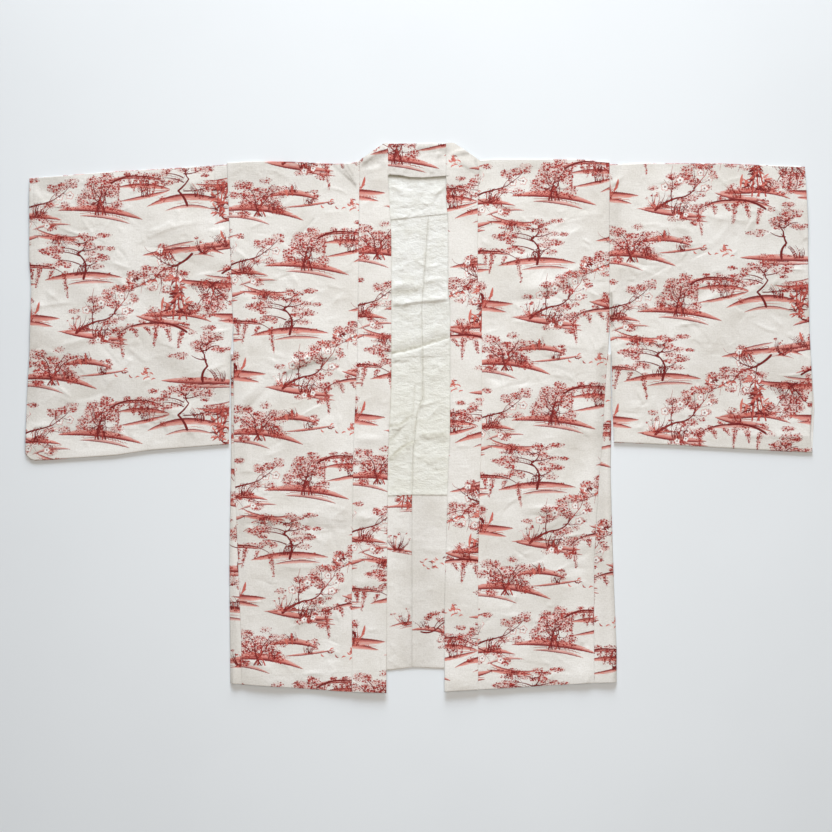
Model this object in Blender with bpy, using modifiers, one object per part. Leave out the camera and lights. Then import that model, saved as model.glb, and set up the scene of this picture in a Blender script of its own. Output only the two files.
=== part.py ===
"""A haori laid out flat on its back, front side up, with the sleeves spread.

The wearer's right side is at -X, the neck is towards +Y and the hems are towards -Y.
The origin is the middle of the garment's box, on the surface it lies on.

Every piece is a cloth wall: an open sheet through the middle of the cloth, which a
Solidify modifier thickens by the same amount to both sides. The body panels fold over
the shoulder, the sleeves are tubes pressed flat, and the gussets fold along the side.
The sizes and the tables below are in millimetres; the meshes are in metres.
"""

from collections import namedtuple

import bpy
import numpy as np

MM = 0.001

# Cloth and layers
WALL = 1.2              # one layer of cloth
COLLAR_WALL = 2.0       # the collar band is folded double
SEAM_GAP = 0.3          # between two pieces that are sewn edge to edge
FOLD_AIR = 0.6          # air between the front and back layer of one piece
LAYER_AIR = 0.3         # air between a piece and what lies on it
REST_SWELL = 0.8        # how far the front layer stands off the back one between creases

BACK_MID = WALL / 2
FRONT_MID = BACK_MID + WALL + FOLD_AIR
LINING_MID = BACK_MID + WALL + LAYER_AIR
FOLD_RADIUS = (FRONT_MID - BACK_MID) / 2
FOLD_MID = (FRONT_MID + BACK_MID) / 2
FOLD_INSET = FOLD_RADIUS + WALL / 2

# Laid-out sizes that drive the rest
TUCK_UNDER = 8.0        # how far lining and turned-up hem reach under the collar legs
BACK_NECKLINE_Y = 424.0
YOKE_TOP_Y = 412.0
NECK_BAND_Y = 399.8     # lower edge of the band behind the neck
NECK_BAND_TOP_Y = 456.0
ARMHOLE_END_Y = 150.0   # below it the sleeve's inner edge hangs free of the body
GUSSET_TOP_Y = 110.0    # the gusset starts at the first row of the front below this
FRONT_ROWS = 33         # rows of cloth from the hem to the neck band's lower edge
SEAM_FADE = 16.0        # creases die out this far from a seam
SHOULDER_FADE = 30.0    # and this far from the fold over the shoulder
HEM_CURL = 1.6          # how far the front hems lift
HEM_CURL_REACH = 40.0

EdgePoint = namedtuple("EdgePoint", "y x")
HemPoint = namedtuple("HemPoint", "x y")
Crease = namedtuple("Crease", "x0 y0 x1 y1 half_width rise")
LegStep = namedtuple("LegStep", "across resting lowest_neck second_neck middle_neck upper_neck top")
Colour = namedtuple("Colour", "red green blue")

PRINTED_CLOTH = Colour(0.78, 0.69, 0.63)
PRINTED_COLLAR = Colour(0.74, 0.60, 0.55)
PLAIN_LINING = Colour(0.86, 0.84, 0.79)
TURNED_UP_CLOTH = Colour(0.80, 0.74, 0.69)

# Seams and edges of the half at -X, the wearer's right
RIGHT_CUFF = (
    EdgePoint(398, -647.7), EdgePoint(262, -647.7), EdgePoint(212, -644.6),
    EdgePoint(94, -647.7), EdgePoint(38, -651.6), EdgePoint(-54, -654.1), EdgePoint(-72, -654.1),
)
RIGHT = dict(
    name="right",
    outward=-1,
    side_seam=(
        EdgePoint(424, -320.2), EdgePoint(150, -309.6), EdgePoint(-54, -308.8),
        EdgePoint(-186, -304.0), EdgePoint(-369, -296.5), EdgePoint(-442, -295.5),
    ),
    back_side_seam=(EdgePoint(424, -320.2), EdgePoint(150, -309.6), EdgePoint(-442, -295.5)),
    collar_seam=(
        EdgePoint(427, -100.4), EdgePoint(312, -101.3), EdgePoint(81, -104.6),
        EdgePoint(-37, -110.2), EdgePoint(-195, -112.9), EdgePoint(-456, -112.9),
    ),
    collar_edge=(
        EdgePoint(456, -53.1), EdgePoint(396, -53.1), EdgePoint(300, -47.5),
        EdgePoint(60, -47.5), EdgePoint(-70, -53.3), EdgePoint(-456, -55.9),
    ),
    shoulder=(
        HemPoint(-320, 422.8), HemPoint(-275, 425.6), HemPoint(-208, 424.6),
        HemPoint(-141, 421.0), HemPoint(-113, 422.0), HemPoint(-100, 426.4),
    ),
    collar_top=(HemPoint(-101.0, 426.4), HemPoint(-59.4, 455.4), HemPoint(-47.0, 456.0)),
    front_hem=(HemPoint(-314, -440.4), HemPoint(-126, -453.7), HemPoint(-56, -456.0)),
    back_hem=(HemPoint(-300, -430.0), HemPoint(-56, -418.8), HemPoint(-10, -413.8)),
    gusset_fold=(
        EdgePoint(105, -313.6), EdgePoint(-87, -313.6), EdgePoint(-137, -314.6),
        EdgePoint(-236, -316.1), EdgePoint(-440, -314.6),
    ),
    gusset_hem=(HemPoint(-316, -440.4), HemPoint(-295, -441.5)),
    sleeve_edge=(
        EdgePoint(424, -320.5), EdgePoint(150, -309.9), EdgePoint(109, -314.3),
        EdgePoint(14, -317.0), EdgePoint(-44, -317.6),
    ),
    sleeve_top=(
        HemPoint(-647.7, 397.1), HemPoint(-506.6, 408.4), HemPoint(-403.7, 414.2),
        HemPoint(-335.3, 418.7), HemPoint(-320, 420.0),
    ),
    sleeve_hem=(
        HemPoint(-654.6, -56.0), HemPoint(-652.0, -66.5), HemPoint(-640.1, -71.9),
        HemPoint(-506.6, -63.1), HemPoint(-449.9, -54.6), HemPoint(-373.5, -48.6),
        HemPoint(-318.0, -44.3),
    ),
    cuff_front=RIGHT_CUFF,
    cuff_back=RIGHT_CUFF,
    front_creases=(
        Crease(-221, 76, -144, 101, 22, -1.4),
        Crease(-300, -153, -130, -181, 20, 2.6),
        Crease(-304, 209, -262, 247, 14, 1.3),
        Crease(-224, 278, -183, 323, 14, 1.2),
        Crease(-295, -402, -242, -420, 16, 1.5),
        Crease(-181, -303, -149, -303, 16, -1.2),
        Crease(-214, 190, -222, -30, 40, 1.2),
    ),
    sleeve_creases=(
        Crease(-462, 297, -365, 323, 18, 1.8),
        Crease(-646, 180, -573, 180, 14, 1.4),
        Crease(-600, 250, -420, 40, 34, 1.6),
        Crease(-385, -19, -368, -40, 12, 1.2),
        Crease(-560, -20, -380, 10, 26, 1.0),
    ),
    lining_creases=(
        Crease(-48, 189, 50, 200, 9, 2.2),
        Crease(-48, 106, 50, 136, 9, 1.9),
        Crease(-53, -15, -22, 5, 8, 1.6),
        Crease(-52, -65, -13, -37, 8, 1.4),
    ),
)

# Seams and edges of the half at +X, the wearer's left
LEFT = dict(
    name="left",
    outward=1,
    side_seam=(
        EdgePoint(424, 314.4), EdgePoint(150, 314.4), EdgePoint(87, 309.6),
        EdgePoint(-29, 303.0), EdgePoint(-103, 297.1), EdgePoint(-236, 288.8),
        EdgePoint(-442, 288.8),
    ),
    back_side_seam=(EdgePoint(424, 314.4), EdgePoint(150, 314.4), EdgePoint(-442, 288.8)),
    collar_seam=(
        EdgePoint(427, 98.9), EdgePoint(361, 95.8), EdgePoint(225, 95.8),
        EdgePoint(190, 102.6), EdgePoint(-4, 102.9), EdgePoint(-132, 98.9),
        EdgePoint(-253, 96.3), EdgePoint(-456, 96.3),
    ),
    collar_edge=(
        EdgePoint(456, 43.2), EdgePoint(361, 43.2), EdgePoint(330, 46.5),
        EdgePoint(212, 46.5), EdgePoint(190, 49.8), EdgePoint(-20, 49.8),
        EdgePoint(-100, 46.3), EdgePoint(-302, 40.7), EdgePoint(-456, 40.7),
    ),
    shoulder=(HemPoint(99, 426.4), HemPoint(123, 428.6), HemPoint(264, 428.6), HemPoint(314.4, 423.8)),
    collar_top=(HemPoint(43.0, 456.0), HemPoint(56.1, 456.0), HemPoint(78.0, 441.7), HemPoint(99.5, 426.4)),
    front_hem=(HemPoint(41.5, -453.7), HemPoint(284, -439.7), HemPoint(326, -438.7)),
    back_hem=(HemPoint(-10, -413.8), HemPoint(40, -415.5), HemPoint(300, -430.0)),
    gusset_fold=(
        EdgePoint(105, 317.0), EdgePoint(0, 317.4), EdgePoint(-87, 316.0),
        EdgePoint(-186, 318.7), EdgePoint(-286, 322.0), EdgePoint(-385, 326.2),
        EdgePoint(-440, 326.2),
    ),
    gusset_hem=(HemPoint(288, -439.6), HemPoint(327, -438.7)),
    sleeve_edge=(
        EdgePoint(424, 314.7), EdgePoint(150, 314.9), EdgePoint(95, 318.2),
        EdgePoint(3, 319.4), EdgePoint(-42, 322.0),
    ),
    sleeve_top=(
        HemPoint(314.4, 420.0), HemPoint(373.5, 421.8), HemPoint(499.2, 421.8),
        HemPoint(638.3, 416.2),
    ),
    sleeve_hem=(
        HemPoint(322.0, -41.3), HemPoint(385.1, -44.0), HemPoint(476.4, -49.0),
        HemPoint(647.0, -58.4), HemPoint(654.6, -57.0),
    ),
    cuff_front=(
        EdgePoint(418, 638.3), EdgePoint(326, 643.3), EdgePoint(189, 644.1),
        EdgePoint(112, 647.4), EdgePoint(44, 651.0), EdgePoint(18, 650.6),
        EdgePoint(-27, 646.0), EdgePoint(-55, 650.8), EdgePoint(-60, 650.8),
    ),
    cuff_back=(
        EdgePoint(418, 638.3), EdgePoint(326, 643.3), EdgePoint(189, 644.1),
        EdgePoint(112, 647.4), EdgePoint(18, 654.9), EdgePoint(-60, 650.8),
    ),
    front_creases=(
        Crease(154, 194, 249, 230, 20, 2.2),
        Crease(120, 72, 171, 72, 14, 1.3),
        Crease(189, -148, 269, -153, 18, 1.8),
        Crease(139, -334, 189, -332, 14, 1.3),
        Crease(205, 330, 215, 60, 42, 1.2),
        Crease(240, -230, 180, -400, 36, 1.1),
    ),
    sleeve_creases=(
        Crease(430, 300, 520, 330, 18, 1.6),
        Crease(330, 90, 420, 60, 16, 1.3),
        Crease(590, 250, 430, 60, 34, 1.6),
        Crease(400, -5, 560, -20, 26, 1.0),
    ),
    lining_creases=(
        Crease(-48, 189, 50, 200, 9, 2.2),
        Crease(-48, 106, 50, 136, 9, 1.9),
        Crease(-8, -34, 50, -31, 10, 1.5),
    ),
)

CENTRE_SEAM = (
    EdgePoint(427, 13.8), EdgePoint(330, 13.6), EdgePoint(270, 9.5), EdgePoint(182, 2.5),
    EdgePoint(31, -1.0), EdgePoint(-60, -11.0), EdgePoint(-128, -13.3), EdgePoint(-420, -13.3),
)
YOKE_SEAM = (HemPoint(-62, 326.8), HemPoint(60, 339.8))
LINING_HEM = (HemPoint(-62, -128.3), HemPoint(60, -128.3))
YOKE_CREASES = (Crease(-30, 352, 12, 360, 10, 1.0), Crease(14, 370, 46, 388, 10, 0.9))
TURN_UP_CREASES = (Crease(-44, -250, -20, -262, 12, 0.8), Crease(0, -330, 34, -322, 12, 0.9))

# Middle of a collar leg's cloth above the surface: from the seam to the free edge, where it
# rests on the lining, then over the five rows where it lies on the end of the neck band.
LEG_HEIGHTS = (
    LegStep(0.00, 2.8, 2.8, 2.8, 2.6, 2.4, 2.2),
    LegStep(0.25, 3.2, 3.6, 3.6, 3.4, 3.0, 2.7),
    LegStep(0.50, 3.7, 6.5, 6.5, 5.4, 3.9, 3.4),
    LegStep(0.75, 4.2, 6.5, 6.5, 5.4, 3.9, 3.4),
    LegStep(1.00, 4.2, 6.5, 6.5, 5.4, 3.9, 3.4),
)
NECK_ROWS = (0.0, 0.25, 0.5, 0.75, 1.0)
NECK_HEIGHTS = (4.1, 4.1, 3.0, 1.5, 1.0)


def along_y(table, y):
    """The x of an edge that runs along Y, at each y."""
    rows = sorted(table)
    return np.interp(y, [row.y for row in rows], [row.x for row in rows])


def along_x(table, x):
    """The y of an edge that runs along X, at each x."""
    rows = sorted(table)
    return np.interp(x, [row.x for row in rows], [row.y for row in rows])


def blend(first, last, share):
    return first + (last - first) * share


def fade(distance, reach):
    """0 on an edge and 1 from its reach inwards, with a smooth slope between."""
    share = np.clip(distance / reach, 0.0, 1.0)
    return share * share * (3.0 - 2.0 * share)


def swell(x, y, creases, resting):
    """How far a layer stands up at each point: a soft hill or trough along each crease."""
    height = np.full(np.broadcast(x, y).shape, float(resting))
    for crease in creases:
        run_x = crease.x1 - crease.x0
        run_y = crease.y1 - crease.y0
        share = ((x - crease.x0) * run_x + (y - crease.y0) * run_y) / (run_x**2 + run_y**2)
        share = np.clip(share, 0.0, 1.0)
        distance = np.hypot(x - crease.x0 - share * run_x, y - crease.y0 - share * run_y)
        height += crease.rise * np.exp(-((distance / crease.half_width) ** 2))
    return np.maximum(height, 0.0)


def fold_arc(steps=3):
    """Points round a fold from the front layer to the back one: how far beyond, and z."""
    angles = np.linspace(np.pi / 2, -np.pi / 2, steps + 1)[1:-1]
    return list(zip(FOLD_RADIUS * np.cos(angles), FOLD_MID + FOLD_RADIUS * np.sin(angles)))


def lattice_faces(index):
    """Two triangles for each cell of a lattice of point numbers, all cut along one diagonal."""
    here, right = index[:-1, :-1].ravel(), index[:-1, 1:].ravel()
    below, corner = index[1:, :-1].ravel(), index[1:, 1:].ravel()
    halves = np.concatenate([np.stack([here, below, corner], 1), np.stack([here, corner, right], 1)])
    return halves.tolist()


def make_collection(name):
    collection = bpy.data.collections.new(name)
    bpy.context.scene.collection.children.link(collection)
    return collection


def make_cloth_material(name, colour):
    material = bpy.data.materials.new(name)
    material.use_nodes = True
    shader = material.node_tree.nodes["Principled BSDF"]
    shader.inputs["Base Color"].default_value = (*colour, 1.0)
    shader.inputs["Roughness"].default_value = 0.85
    shader.inputs["Metallic"].default_value = 0.0
    return material


def add_cloth(name, points, faces, wall, colour, garment):
    """A named piece from the points through the middle of its cloth, made a wall."""
    vertices = np.asarray(points, float).reshape(-1, 3) * MM
    mesh = bpy.data.meshes.new(name)
    mesh.from_pydata(vertices.tolist(), [], faces)
    mesh.validate()
    mesh.shade_smooth()
    mesh.materials.append(make_cloth_material(name, colour))
    piece = bpy.data.objects.new(name, mesh)
    garment["collection"].objects.link(piece)
    piece.parent = garment["empty"]
    thicken = piece.modifiers.new("cloth wall", "SOLIDIFY")
    thicken.thickness = wall * MM
    thicken.offset = 0.0
    thicken.use_even_offset = True
    thicken.use_quality_normals = True
    return piece


def cloth_points(x, y, z):
    """Points from their x, y and z, each a lattice or one number."""
    return np.stack(np.broadcast_arrays(x, y, z), axis=-1).astype(float)


def front_shares(side):
    """How far up from the hem the front's rows lie, as shares of the way to the shoulder.

    Beside the collar seam they lie at the collar leg's own rows, so that two edges which
    are sewn together bend at the same points.
    """
    hem = along_x(side["front_hem"], along_y(side["collar_seam"], -450.0))
    top = along_x(side["shoulder"], along_y(side["collar_seam"], 424.0)) - FOLD_INSET
    levels = np.linspace(hem, NECK_BAND_Y, FRONT_ROWS)
    levels = np.concatenate([levels, [(NECK_BAND_Y + top) / 2, top]])
    return (levels - hem) / (top - hem)


def back_shares(side):
    """The same for the back's rows, counted down from the shoulder, with one at the armhole's end."""
    top = along_x(side["shoulder"], along_y(side["back_side_seam"], 424.0)) - FOLD_INSET
    hem = along_x(side["back_hem"], along_y(side["back_side_seam"], -430.0))
    levels = np.concatenate([[top, (top + ARMHOLE_END_Y) / 2], np.linspace(ARMHOLE_END_Y, hem, 7)])
    return (top - levels) / (top - hem)


def body_panel(side, garment):
    """One length of cloth: up the front, over the shoulder, and down the back to the hem.

    The front is narrower than the back, because the collar takes over where it ends; the
    back goes on to the centre seam behind the collar leg.
    """
    across = np.linspace(0.0, 1.0, 11)
    to_centre = np.linspace(0.0, 1.0, 4)[1:]
    half_gap = SEAM_GAP / 2 * side["outward"]

    def layer(hem_table, side_table, shares):
        """x and y of a layer's points, and the x of its two edges at each point."""
        def edges(y):
            return along_y(side_table, y) - half_gap, along_y(side["collar_seam"], y) + half_gap

        hem_y = along_x(hem_table, blend(*edges(-440.0), across))
        top_y = along_x(side["shoulder"], blend(*edges(424.0), across)) - FOLD_INSET
        y = blend(hem_y[None, :], top_y[None, :], shares[:, None])
        outer, inner = edges(y)
        return blend(outer, inner, across[None, :]), y, outer, inner

    x, y, outer, inner = layer(side["front_hem"], side["side_seam"], front_shares(side))
    rise = swell(x, y, side["front_creases"], REST_SWELL)
    rise *= fade(np.minimum(np.abs(x - outer), np.abs(x - inner)), SEAM_FADE)
    rise += HEM_CURL * (1.0 - fade(y - y[0], HEM_CURL_REACH))
    rise *= fade(y[-1] - y, SHOULDER_FADE)
    front = cloth_points(x, y, FRONT_MID + rise)
    fold = np.stack([cloth_points(x[-1], y[-1] + beyond, z) for beyond, z in fold_arc()])
    x, y, outer, inner = layer(side["back_hem"], side["back_side_seam"], 1.0 - back_shares(side))
    folded = np.concatenate([front, fold, cloth_points(x, y, BACK_MID)])

    centre_x = along_y(CENTRE_SEAM, -416.0) + half_gap
    hem_y = along_x(side["back_hem"], blend(x[-1, -1], centre_x, to_centre))
    straight_y = blend(BACK_NECKLINE_Y, hem_y[None, :], back_shares(side)[:, None])
    y = blend(y[:, -1:], straight_y, to_centre[None, :])
    start = along_y(side["collar_seam"], y) + half_gap
    finish = along_y(CENTRE_SEAM, y) + half_gap
    behind_collar = cloth_points(blend(start, finish, to_centre[None, :]), y, BACK_MID)

    rows, columns = folded.shape[:2]
    back_rows = len(y)
    last_column = [(rows - back_rows + row) * columns + columns - 1 for row in range(back_rows)]
    inner_points = rows * columns + np.arange(behind_collar[..., 0].size).reshape(y.shape)
    joined = np.concatenate([np.array(last_column)[:, None], inner_points], axis=1)
    faces = lattice_faces(np.arange(rows * columns).reshape(rows, columns)) + lattice_faces(joined)
    points = np.concatenate([folded.reshape(-1, 3), behind_collar.reshape(-1, 3)])
    add_cloth("body_" + side["name"], points, faces, WALL, PRINTED_CLOTH, garment)


def sleeve(side, garment):
    """A tube pressed flat: a fold along the top, a seam along the bottom, open at both ends."""
    along = np.concatenate([[0.0], np.linspace(0.05, 0.95, 11), [0.985, 1.0]])
    front_rows = np.linspace(0.0, 1.0, 18)
    back_rows = np.linspace(1.0, 0.0, 7)

    def layer(cuff, rows):
        """x and y of one layer: rows run from the top fold down, columns towards the cuff."""
        top_x = blend(along_y(side["sleeve_edge"], 420.0), along_y(cuff, 400.0), along)
        low_x = blend(along_y(side["sleeve_edge"], -50.0), along_y(cuff, -60.0), along)
        top_y = along_x(side["sleeve_top"], top_x) - FOLD_INSET
        low_y = along_x(side["sleeve_hem"], low_x) + FOLD_INSET
        y = blend(top_y[None, :], low_y[None, :], rows[:, None])
        return blend(along_y(side["sleeve_edge"], y), along_y(cuff, y), along[None, :]), y

    x, y = layer(side["cuff_front"], front_rows)
    rise = swell(x, y, side["sleeve_creases"], REST_SWELL)
    rise *= fade(np.minimum(y[0] - y, y - y[-1]), SHOULDER_FADE)
    rise *= fade(np.abs(x - along_y(side["sleeve_edge"], y)), SEAM_FADE)
    back_x, back_y = layer(side["cuff_back"], back_rows)

    arc = fold_arc()
    shares = (np.arange(len(arc)) + 1) / (len(arc) + 1)
    hem_turn = [
        cloth_points(blend(x[-1], back_x[0], share), y[-1] - beyond, z)
        for share, (beyond, z) in zip(shares, arc)
    ]
    top_turn = [
        cloth_points(blend(back_x[-1], x[0], share), y[0] + beyond, z)
        for share, (beyond, z) in zip(shares, arc[::-1])
    ]
    front = cloth_points(x, y, FRONT_MID + rise)
    back = cloth_points(back_x, back_y, BACK_MID)
    ring = np.concatenate([front, np.stack(hem_turn), back, np.stack(top_turn)])
    index = np.arange(ring[..., 0].size).reshape(ring.shape[:2])
    faces = lattice_faces(np.concatenate([index, index[:1]]))
    add_cloth("sleeve_" + side["name"], ring, faces, WALL, PRINTED_CLOTH, garment)


def gusset(side, garment):
    """The narrow wedge at the side, folded lengthwise so that its fold is the outline."""
    outward = side["outward"]
    seam_x = along_y(side["side_seam"], -440.0)
    hem = along_x(side["front_hem"], seam_x)
    top = along_x(side["shoulder"], along_y(side["side_seam"], 424.0)) - FOLD_INSET
    front_y = blend(hem, top, front_shares(side))
    front_y = front_y[front_y < GUSSET_TOP_Y]
    shares = (front_y - hem) / (front_y[-1] - hem)

    def line(table, hem_y, inset, z):
        """The gusset's points along one of its seams, or along its fold."""
        y = blend(hem_y, front_y[-1], shares)
        return cloth_points(along_y(table, y) + inset * outward, y, z)

    fold_y = along_x(side["gusset_hem"], along_y(side["gusset_fold"], -440.0))
    back_y = along_x(side["back_hem"], along_y(side["back_side_seam"], -430.0))
    half_gap = SEAM_GAP / 2
    lines = [line(side["side_seam"], hem, half_gap, FRONT_MID)]
    lines += [line(side["gusset_fold"], fold_y, -FOLD_INSET, FRONT_MID)]
    lines += [line(side["gusset_fold"], fold_y, beyond - FOLD_INSET, z) for beyond, z in fold_arc()]
    lines += [line(side["gusset_fold"], fold_y, -FOLD_INSET, BACK_MID)]
    lines += [line(side["back_side_seam"], back_y, half_gap, BACK_MID)]
    points = np.stack(lines, axis=1)
    index = np.arange(points[..., 0].size).reshape(points.shape[:2])
    add_cloth("gusset_" + side["name"], points, lattice_faces(index), WALL, PRINTED_CLOTH, garment)


def leg_rows(side):
    """Rows of a collar leg: evenly up to the neck band, then the band's own rows."""
    across = np.array([step.across for step in LEG_HEIGHTS])
    half_gap = SEAM_GAP / 2 * side["outward"]

    def edges(y):
        return along_y(side["collar_seam"], y) - half_gap, along_y(side["collar_edge"], y)

    hem_y = along_x(side["front_hem"], blend(*edges(-450.0), across))
    rows = np.linspace(0.0, 1.0, FRONT_ROWS)[:-1]
    y = blend(hem_y[None, :], NECK_BAND_Y, rows[:, None])
    top_y = along_x(side["collar_top"], blend(*edges(430.0), across))
    neck_y = blend(NECK_BAND_Y, top_y[None, :], np.array(NECK_ROWS)[:, None])
    y = np.concatenate([y, neck_y])
    seam, edge = edges(y)
    return blend(seam, edge, across[None, :]), y, len(rows)


def add_lattice(name, x, y, z, wall, colour, garment):
    points = cloth_points(x, y, z)
    index = np.arange(points[..., 0].size).reshape(points.shape[:2])
    add_cloth(name, points, lattice_faces(index), wall, colour, garment)


def collar_leg(side, garment):
    """The collar band beside a front edge, up to the slanting fold where it turns to the neck."""
    x, y, resting_rows = leg_rows(side)
    resting = np.array([[step.resting for step in LEG_HEIGHTS]])
    over_neck = np.array([step[2:] for step in LEG_HEIGHTS]).T
    z = np.concatenate([np.repeat(resting, resting_rows, axis=0), over_neck])
    z += HEM_CURL * (1.0 - fade(y - y[0], HEM_CURL_REACH))
    add_lattice("collar_" + side["name"], x, y, z, COLLAR_WALL, PRINTED_COLLAR, garment)


def neck_band(garment):
    """The collar behind the neck, seen from its inner side; its ends lie under the legs."""
    def leg_columns(side):
        x, y, resting_rows = leg_rows(side)
        return x[resting_rows, 2:], y[-1, 2:]

    right_x, right_top = leg_columns(RIGHT)
    left_x, left_top = leg_columns(LEFT)
    middle_x = np.linspace(right_x[-1], left_x[-1], 8)[1:-1]
    x = np.concatenate([right_x, middle_x, left_x[::-1]])
    top_y = np.concatenate([right_top, np.full_like(middle_x, NECK_BAND_TOP_Y), left_top[::-1]])
    y = blend(NECK_BAND_Y, top_y[None, :], np.array(NECK_ROWS)[:, None])
    z = np.array(NECK_HEIGHTS)[:, None]
    add_lattice("collar_neck", x, y, z, COLLAR_WALL, PRINTED_COLLAR, garment)


def inner_columns(side, y):
    """x of a lining's columns: under the collar leg, its free edge, then to the centre seam."""
    edge = along_y(side["collar_edge"], y)
    centre = along_y(CENTRE_SEAM, y) + SEAM_GAP / 2 * side["outward"]
    inner = [blend(edge, centre, share) for share in np.linspace(0.0, 1.0, 4)]
    return [edge + TUCK_UNDER * side["outward"], *inner]


def inner_panel(name, side, top, hem, row_count, creases, colour, garment):
    """A panel on the inside of the back, from under a collar leg to the centre seam.

    Its creases die out towards the leg that lies on it and go on up to the centre seam.
    """
    rows = np.linspace(0.0, 1.0, row_count)
    top_y = [along_x(top, x) for x in inner_columns(side, max(point.y for point in top))]
    hem_y = [along_x(hem, x) for x in inner_columns(side, min(point.y for point in hem))]
    y = blend(np.array(top_y)[None, :], np.array(hem_y)[None, :], rows[:, None])
    x = np.stack([inner_columns(side, y[:, column])[column] for column in range(y.shape[1])], axis=-1)
    visible = fade((along_y(side["collar_edge"], y) - x) * side["outward"], SEAM_FADE)
    z = LINING_MID + swell(x, y, creases, 0.0) * visible
    add_lattice(name, x, y, z, WALL, colour, garment)


def yoke_lining(garment):
    """The plain piece across the shoulders, between the neck band and the lining's seam."""
    rows = np.linspace(0.0, 1.0, 7)
    right = along_y(RIGHT["collar_edge"], 370.0)
    left = along_y(LEFT["collar_edge"], 370.0)
    x = np.concatenate([[right - TUCK_UNDER], np.linspace(right, left, 7), [left + TUCK_UNDER]])
    y = blend(YOKE_TOP_Y, along_x(YOKE_SEAM, x)[None, :], rows[:, None])
    rise = swell(x[None, :], y, YOKE_CREASES, 0.0)
    rise *= fade(np.minimum(x - right, left - x), SEAM_FADE) * fade(NECK_BAND_Y - y, SEAM_FADE)
    add_lattice("lining_yoke", x, y, LINING_MID + rise, WALL, PLAIN_LINING, garment)


def moved_down(table, distance):
    return tuple(point._replace(y=point.y - distance) for point in table)


def main():
    for stale in list(bpy.data.objects):
        bpy.data.objects.remove(stale, do_unlink=True)
    collection = make_collection("haori")
    empty = bpy.data.objects.new("haori_frame", None)
    collection.objects.link(empty)
    garment = dict(collection=collection, empty=empty)
    for side in (RIGHT, LEFT):
        body_panel(side, garment)
        sleeve(side, garment)
        gusset(side, garment)
        collar_leg(side, garment)
        name = side["name"]
        lining_top = moved_down(YOKE_SEAM, SEAM_GAP)
        turn_up_top = moved_down(LINING_HEM, SEAM_GAP)
        lining = (lining_top, LINING_HEM, 30, side["lining_creases"], PLAIN_LINING)
        turn_up = (turn_up_top, side["back_hem"], 12, TURN_UP_CREASES, TURNED_UP_CLOTH)
        inner_panel("lining_" + name, side, *lining, garment)
        inner_panel("turn_up_" + name, side, *turn_up, garment)
    neck_band(garment)
    yoke_lining(garment)


main()
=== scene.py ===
"""A haori laid out flat on its back: printed cloth, plain lining and the stage round them.

Each piece of cloth is a thin shell on the form of its solid in the frame. Lengths in the
tables and functions are millimetres; the meshes are in metres. The wearer's right side is
at -X, the neck is towards +Y, and the cloth lies on the surface at z = 0.
"""

from collections import namedtuple

import bpy
import numpy as np
from bpy.props import FloatProperty, FloatVectorProperty, PointerProperty
from mathutils import Matrix, Vector


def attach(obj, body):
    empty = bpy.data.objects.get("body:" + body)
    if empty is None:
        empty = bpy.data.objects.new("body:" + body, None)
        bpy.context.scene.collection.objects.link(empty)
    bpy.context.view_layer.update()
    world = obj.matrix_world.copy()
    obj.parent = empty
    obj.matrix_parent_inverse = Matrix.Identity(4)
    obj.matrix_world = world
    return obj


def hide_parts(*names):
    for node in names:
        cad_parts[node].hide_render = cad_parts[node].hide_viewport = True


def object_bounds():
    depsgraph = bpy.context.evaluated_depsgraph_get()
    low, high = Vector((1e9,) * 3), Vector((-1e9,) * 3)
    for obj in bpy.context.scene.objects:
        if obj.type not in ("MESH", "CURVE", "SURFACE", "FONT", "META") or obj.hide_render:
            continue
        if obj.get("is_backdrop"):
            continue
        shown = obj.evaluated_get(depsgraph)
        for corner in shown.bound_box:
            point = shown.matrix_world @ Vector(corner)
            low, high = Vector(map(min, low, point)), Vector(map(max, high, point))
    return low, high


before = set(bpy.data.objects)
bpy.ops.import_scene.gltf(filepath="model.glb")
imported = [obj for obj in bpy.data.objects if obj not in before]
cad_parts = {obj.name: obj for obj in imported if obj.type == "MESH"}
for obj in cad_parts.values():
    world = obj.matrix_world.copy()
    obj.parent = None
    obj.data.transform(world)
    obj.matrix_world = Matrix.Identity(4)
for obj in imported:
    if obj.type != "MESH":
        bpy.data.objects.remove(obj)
CAD_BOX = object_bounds()

bl_info = {
    "name": "Laid-out haori",
    "version": (1, 0, 0),
    "blender": (4, 5, 0),
    "location": "3D View > Sidebar > Haori",
    "description": "Builds a flat haori of printed cloth with a plain lining",
    "category": "Add Mesh",
}

MM = 0.001

# Layers, as heights of the middle of the cloth above the surface
BACK_MID = 0.45
FRONT_MID = 2.4
LINING_MID = 1.9
TURN_UP_MID = 1.5
FOLD_RADIUS = (FRONT_MID - BACK_MID) / 2
HALF_TURN = np.pi * FOLD_RADIUS / 2     # cloth that a pressed fold takes up on either side

# Laps and gaps
SEAM_GAP = 0.16
COLLAR_LAP = 4.0        # how far the fronts run in under the collar
LINING_LAP = 5.0        # how far one inner piece runs under the next
TUCK_UNDER = 8.0        # how far the inner pieces run under the collar legs
NECK_TUCK = 24.0        # how far the neck band runs under them
NECK_INSET = 1.2        # how far it stays below their upper edge

# Places along Y; those marked "about" only find where a piece's corner lies along its edges
SHOULDER_Y = 424.0      # about
FRONT_HEM_Y = -440.0    # about
BACK_HEM_Y = -430.0     # about
CENTRE_HEM_Y = -416.0   # about
SLEEVE_TOP_Y = 420.0    # about
CUFF_TOP_Y = 400.0      # about
SLEEVE_HEM_Y = -50.0    # about
CUFF_HEM_Y = -60.0      # about
LEG_HEM_Y = -450.0      # about
COLLAR_TURN_Y = 430.0   # about
YOKE_MIDDLE_Y = 370.0
BACK_NECKLINE_Y = 424.0
YOKE_TOP_Y = 412.0
NECK_BAND_Y = 399.8
NECK_BAND_TOP_Y = 456.0
ARMHOLE_END_Y = 150.0
GUSSET_TOP_Y = 105.0

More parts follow.
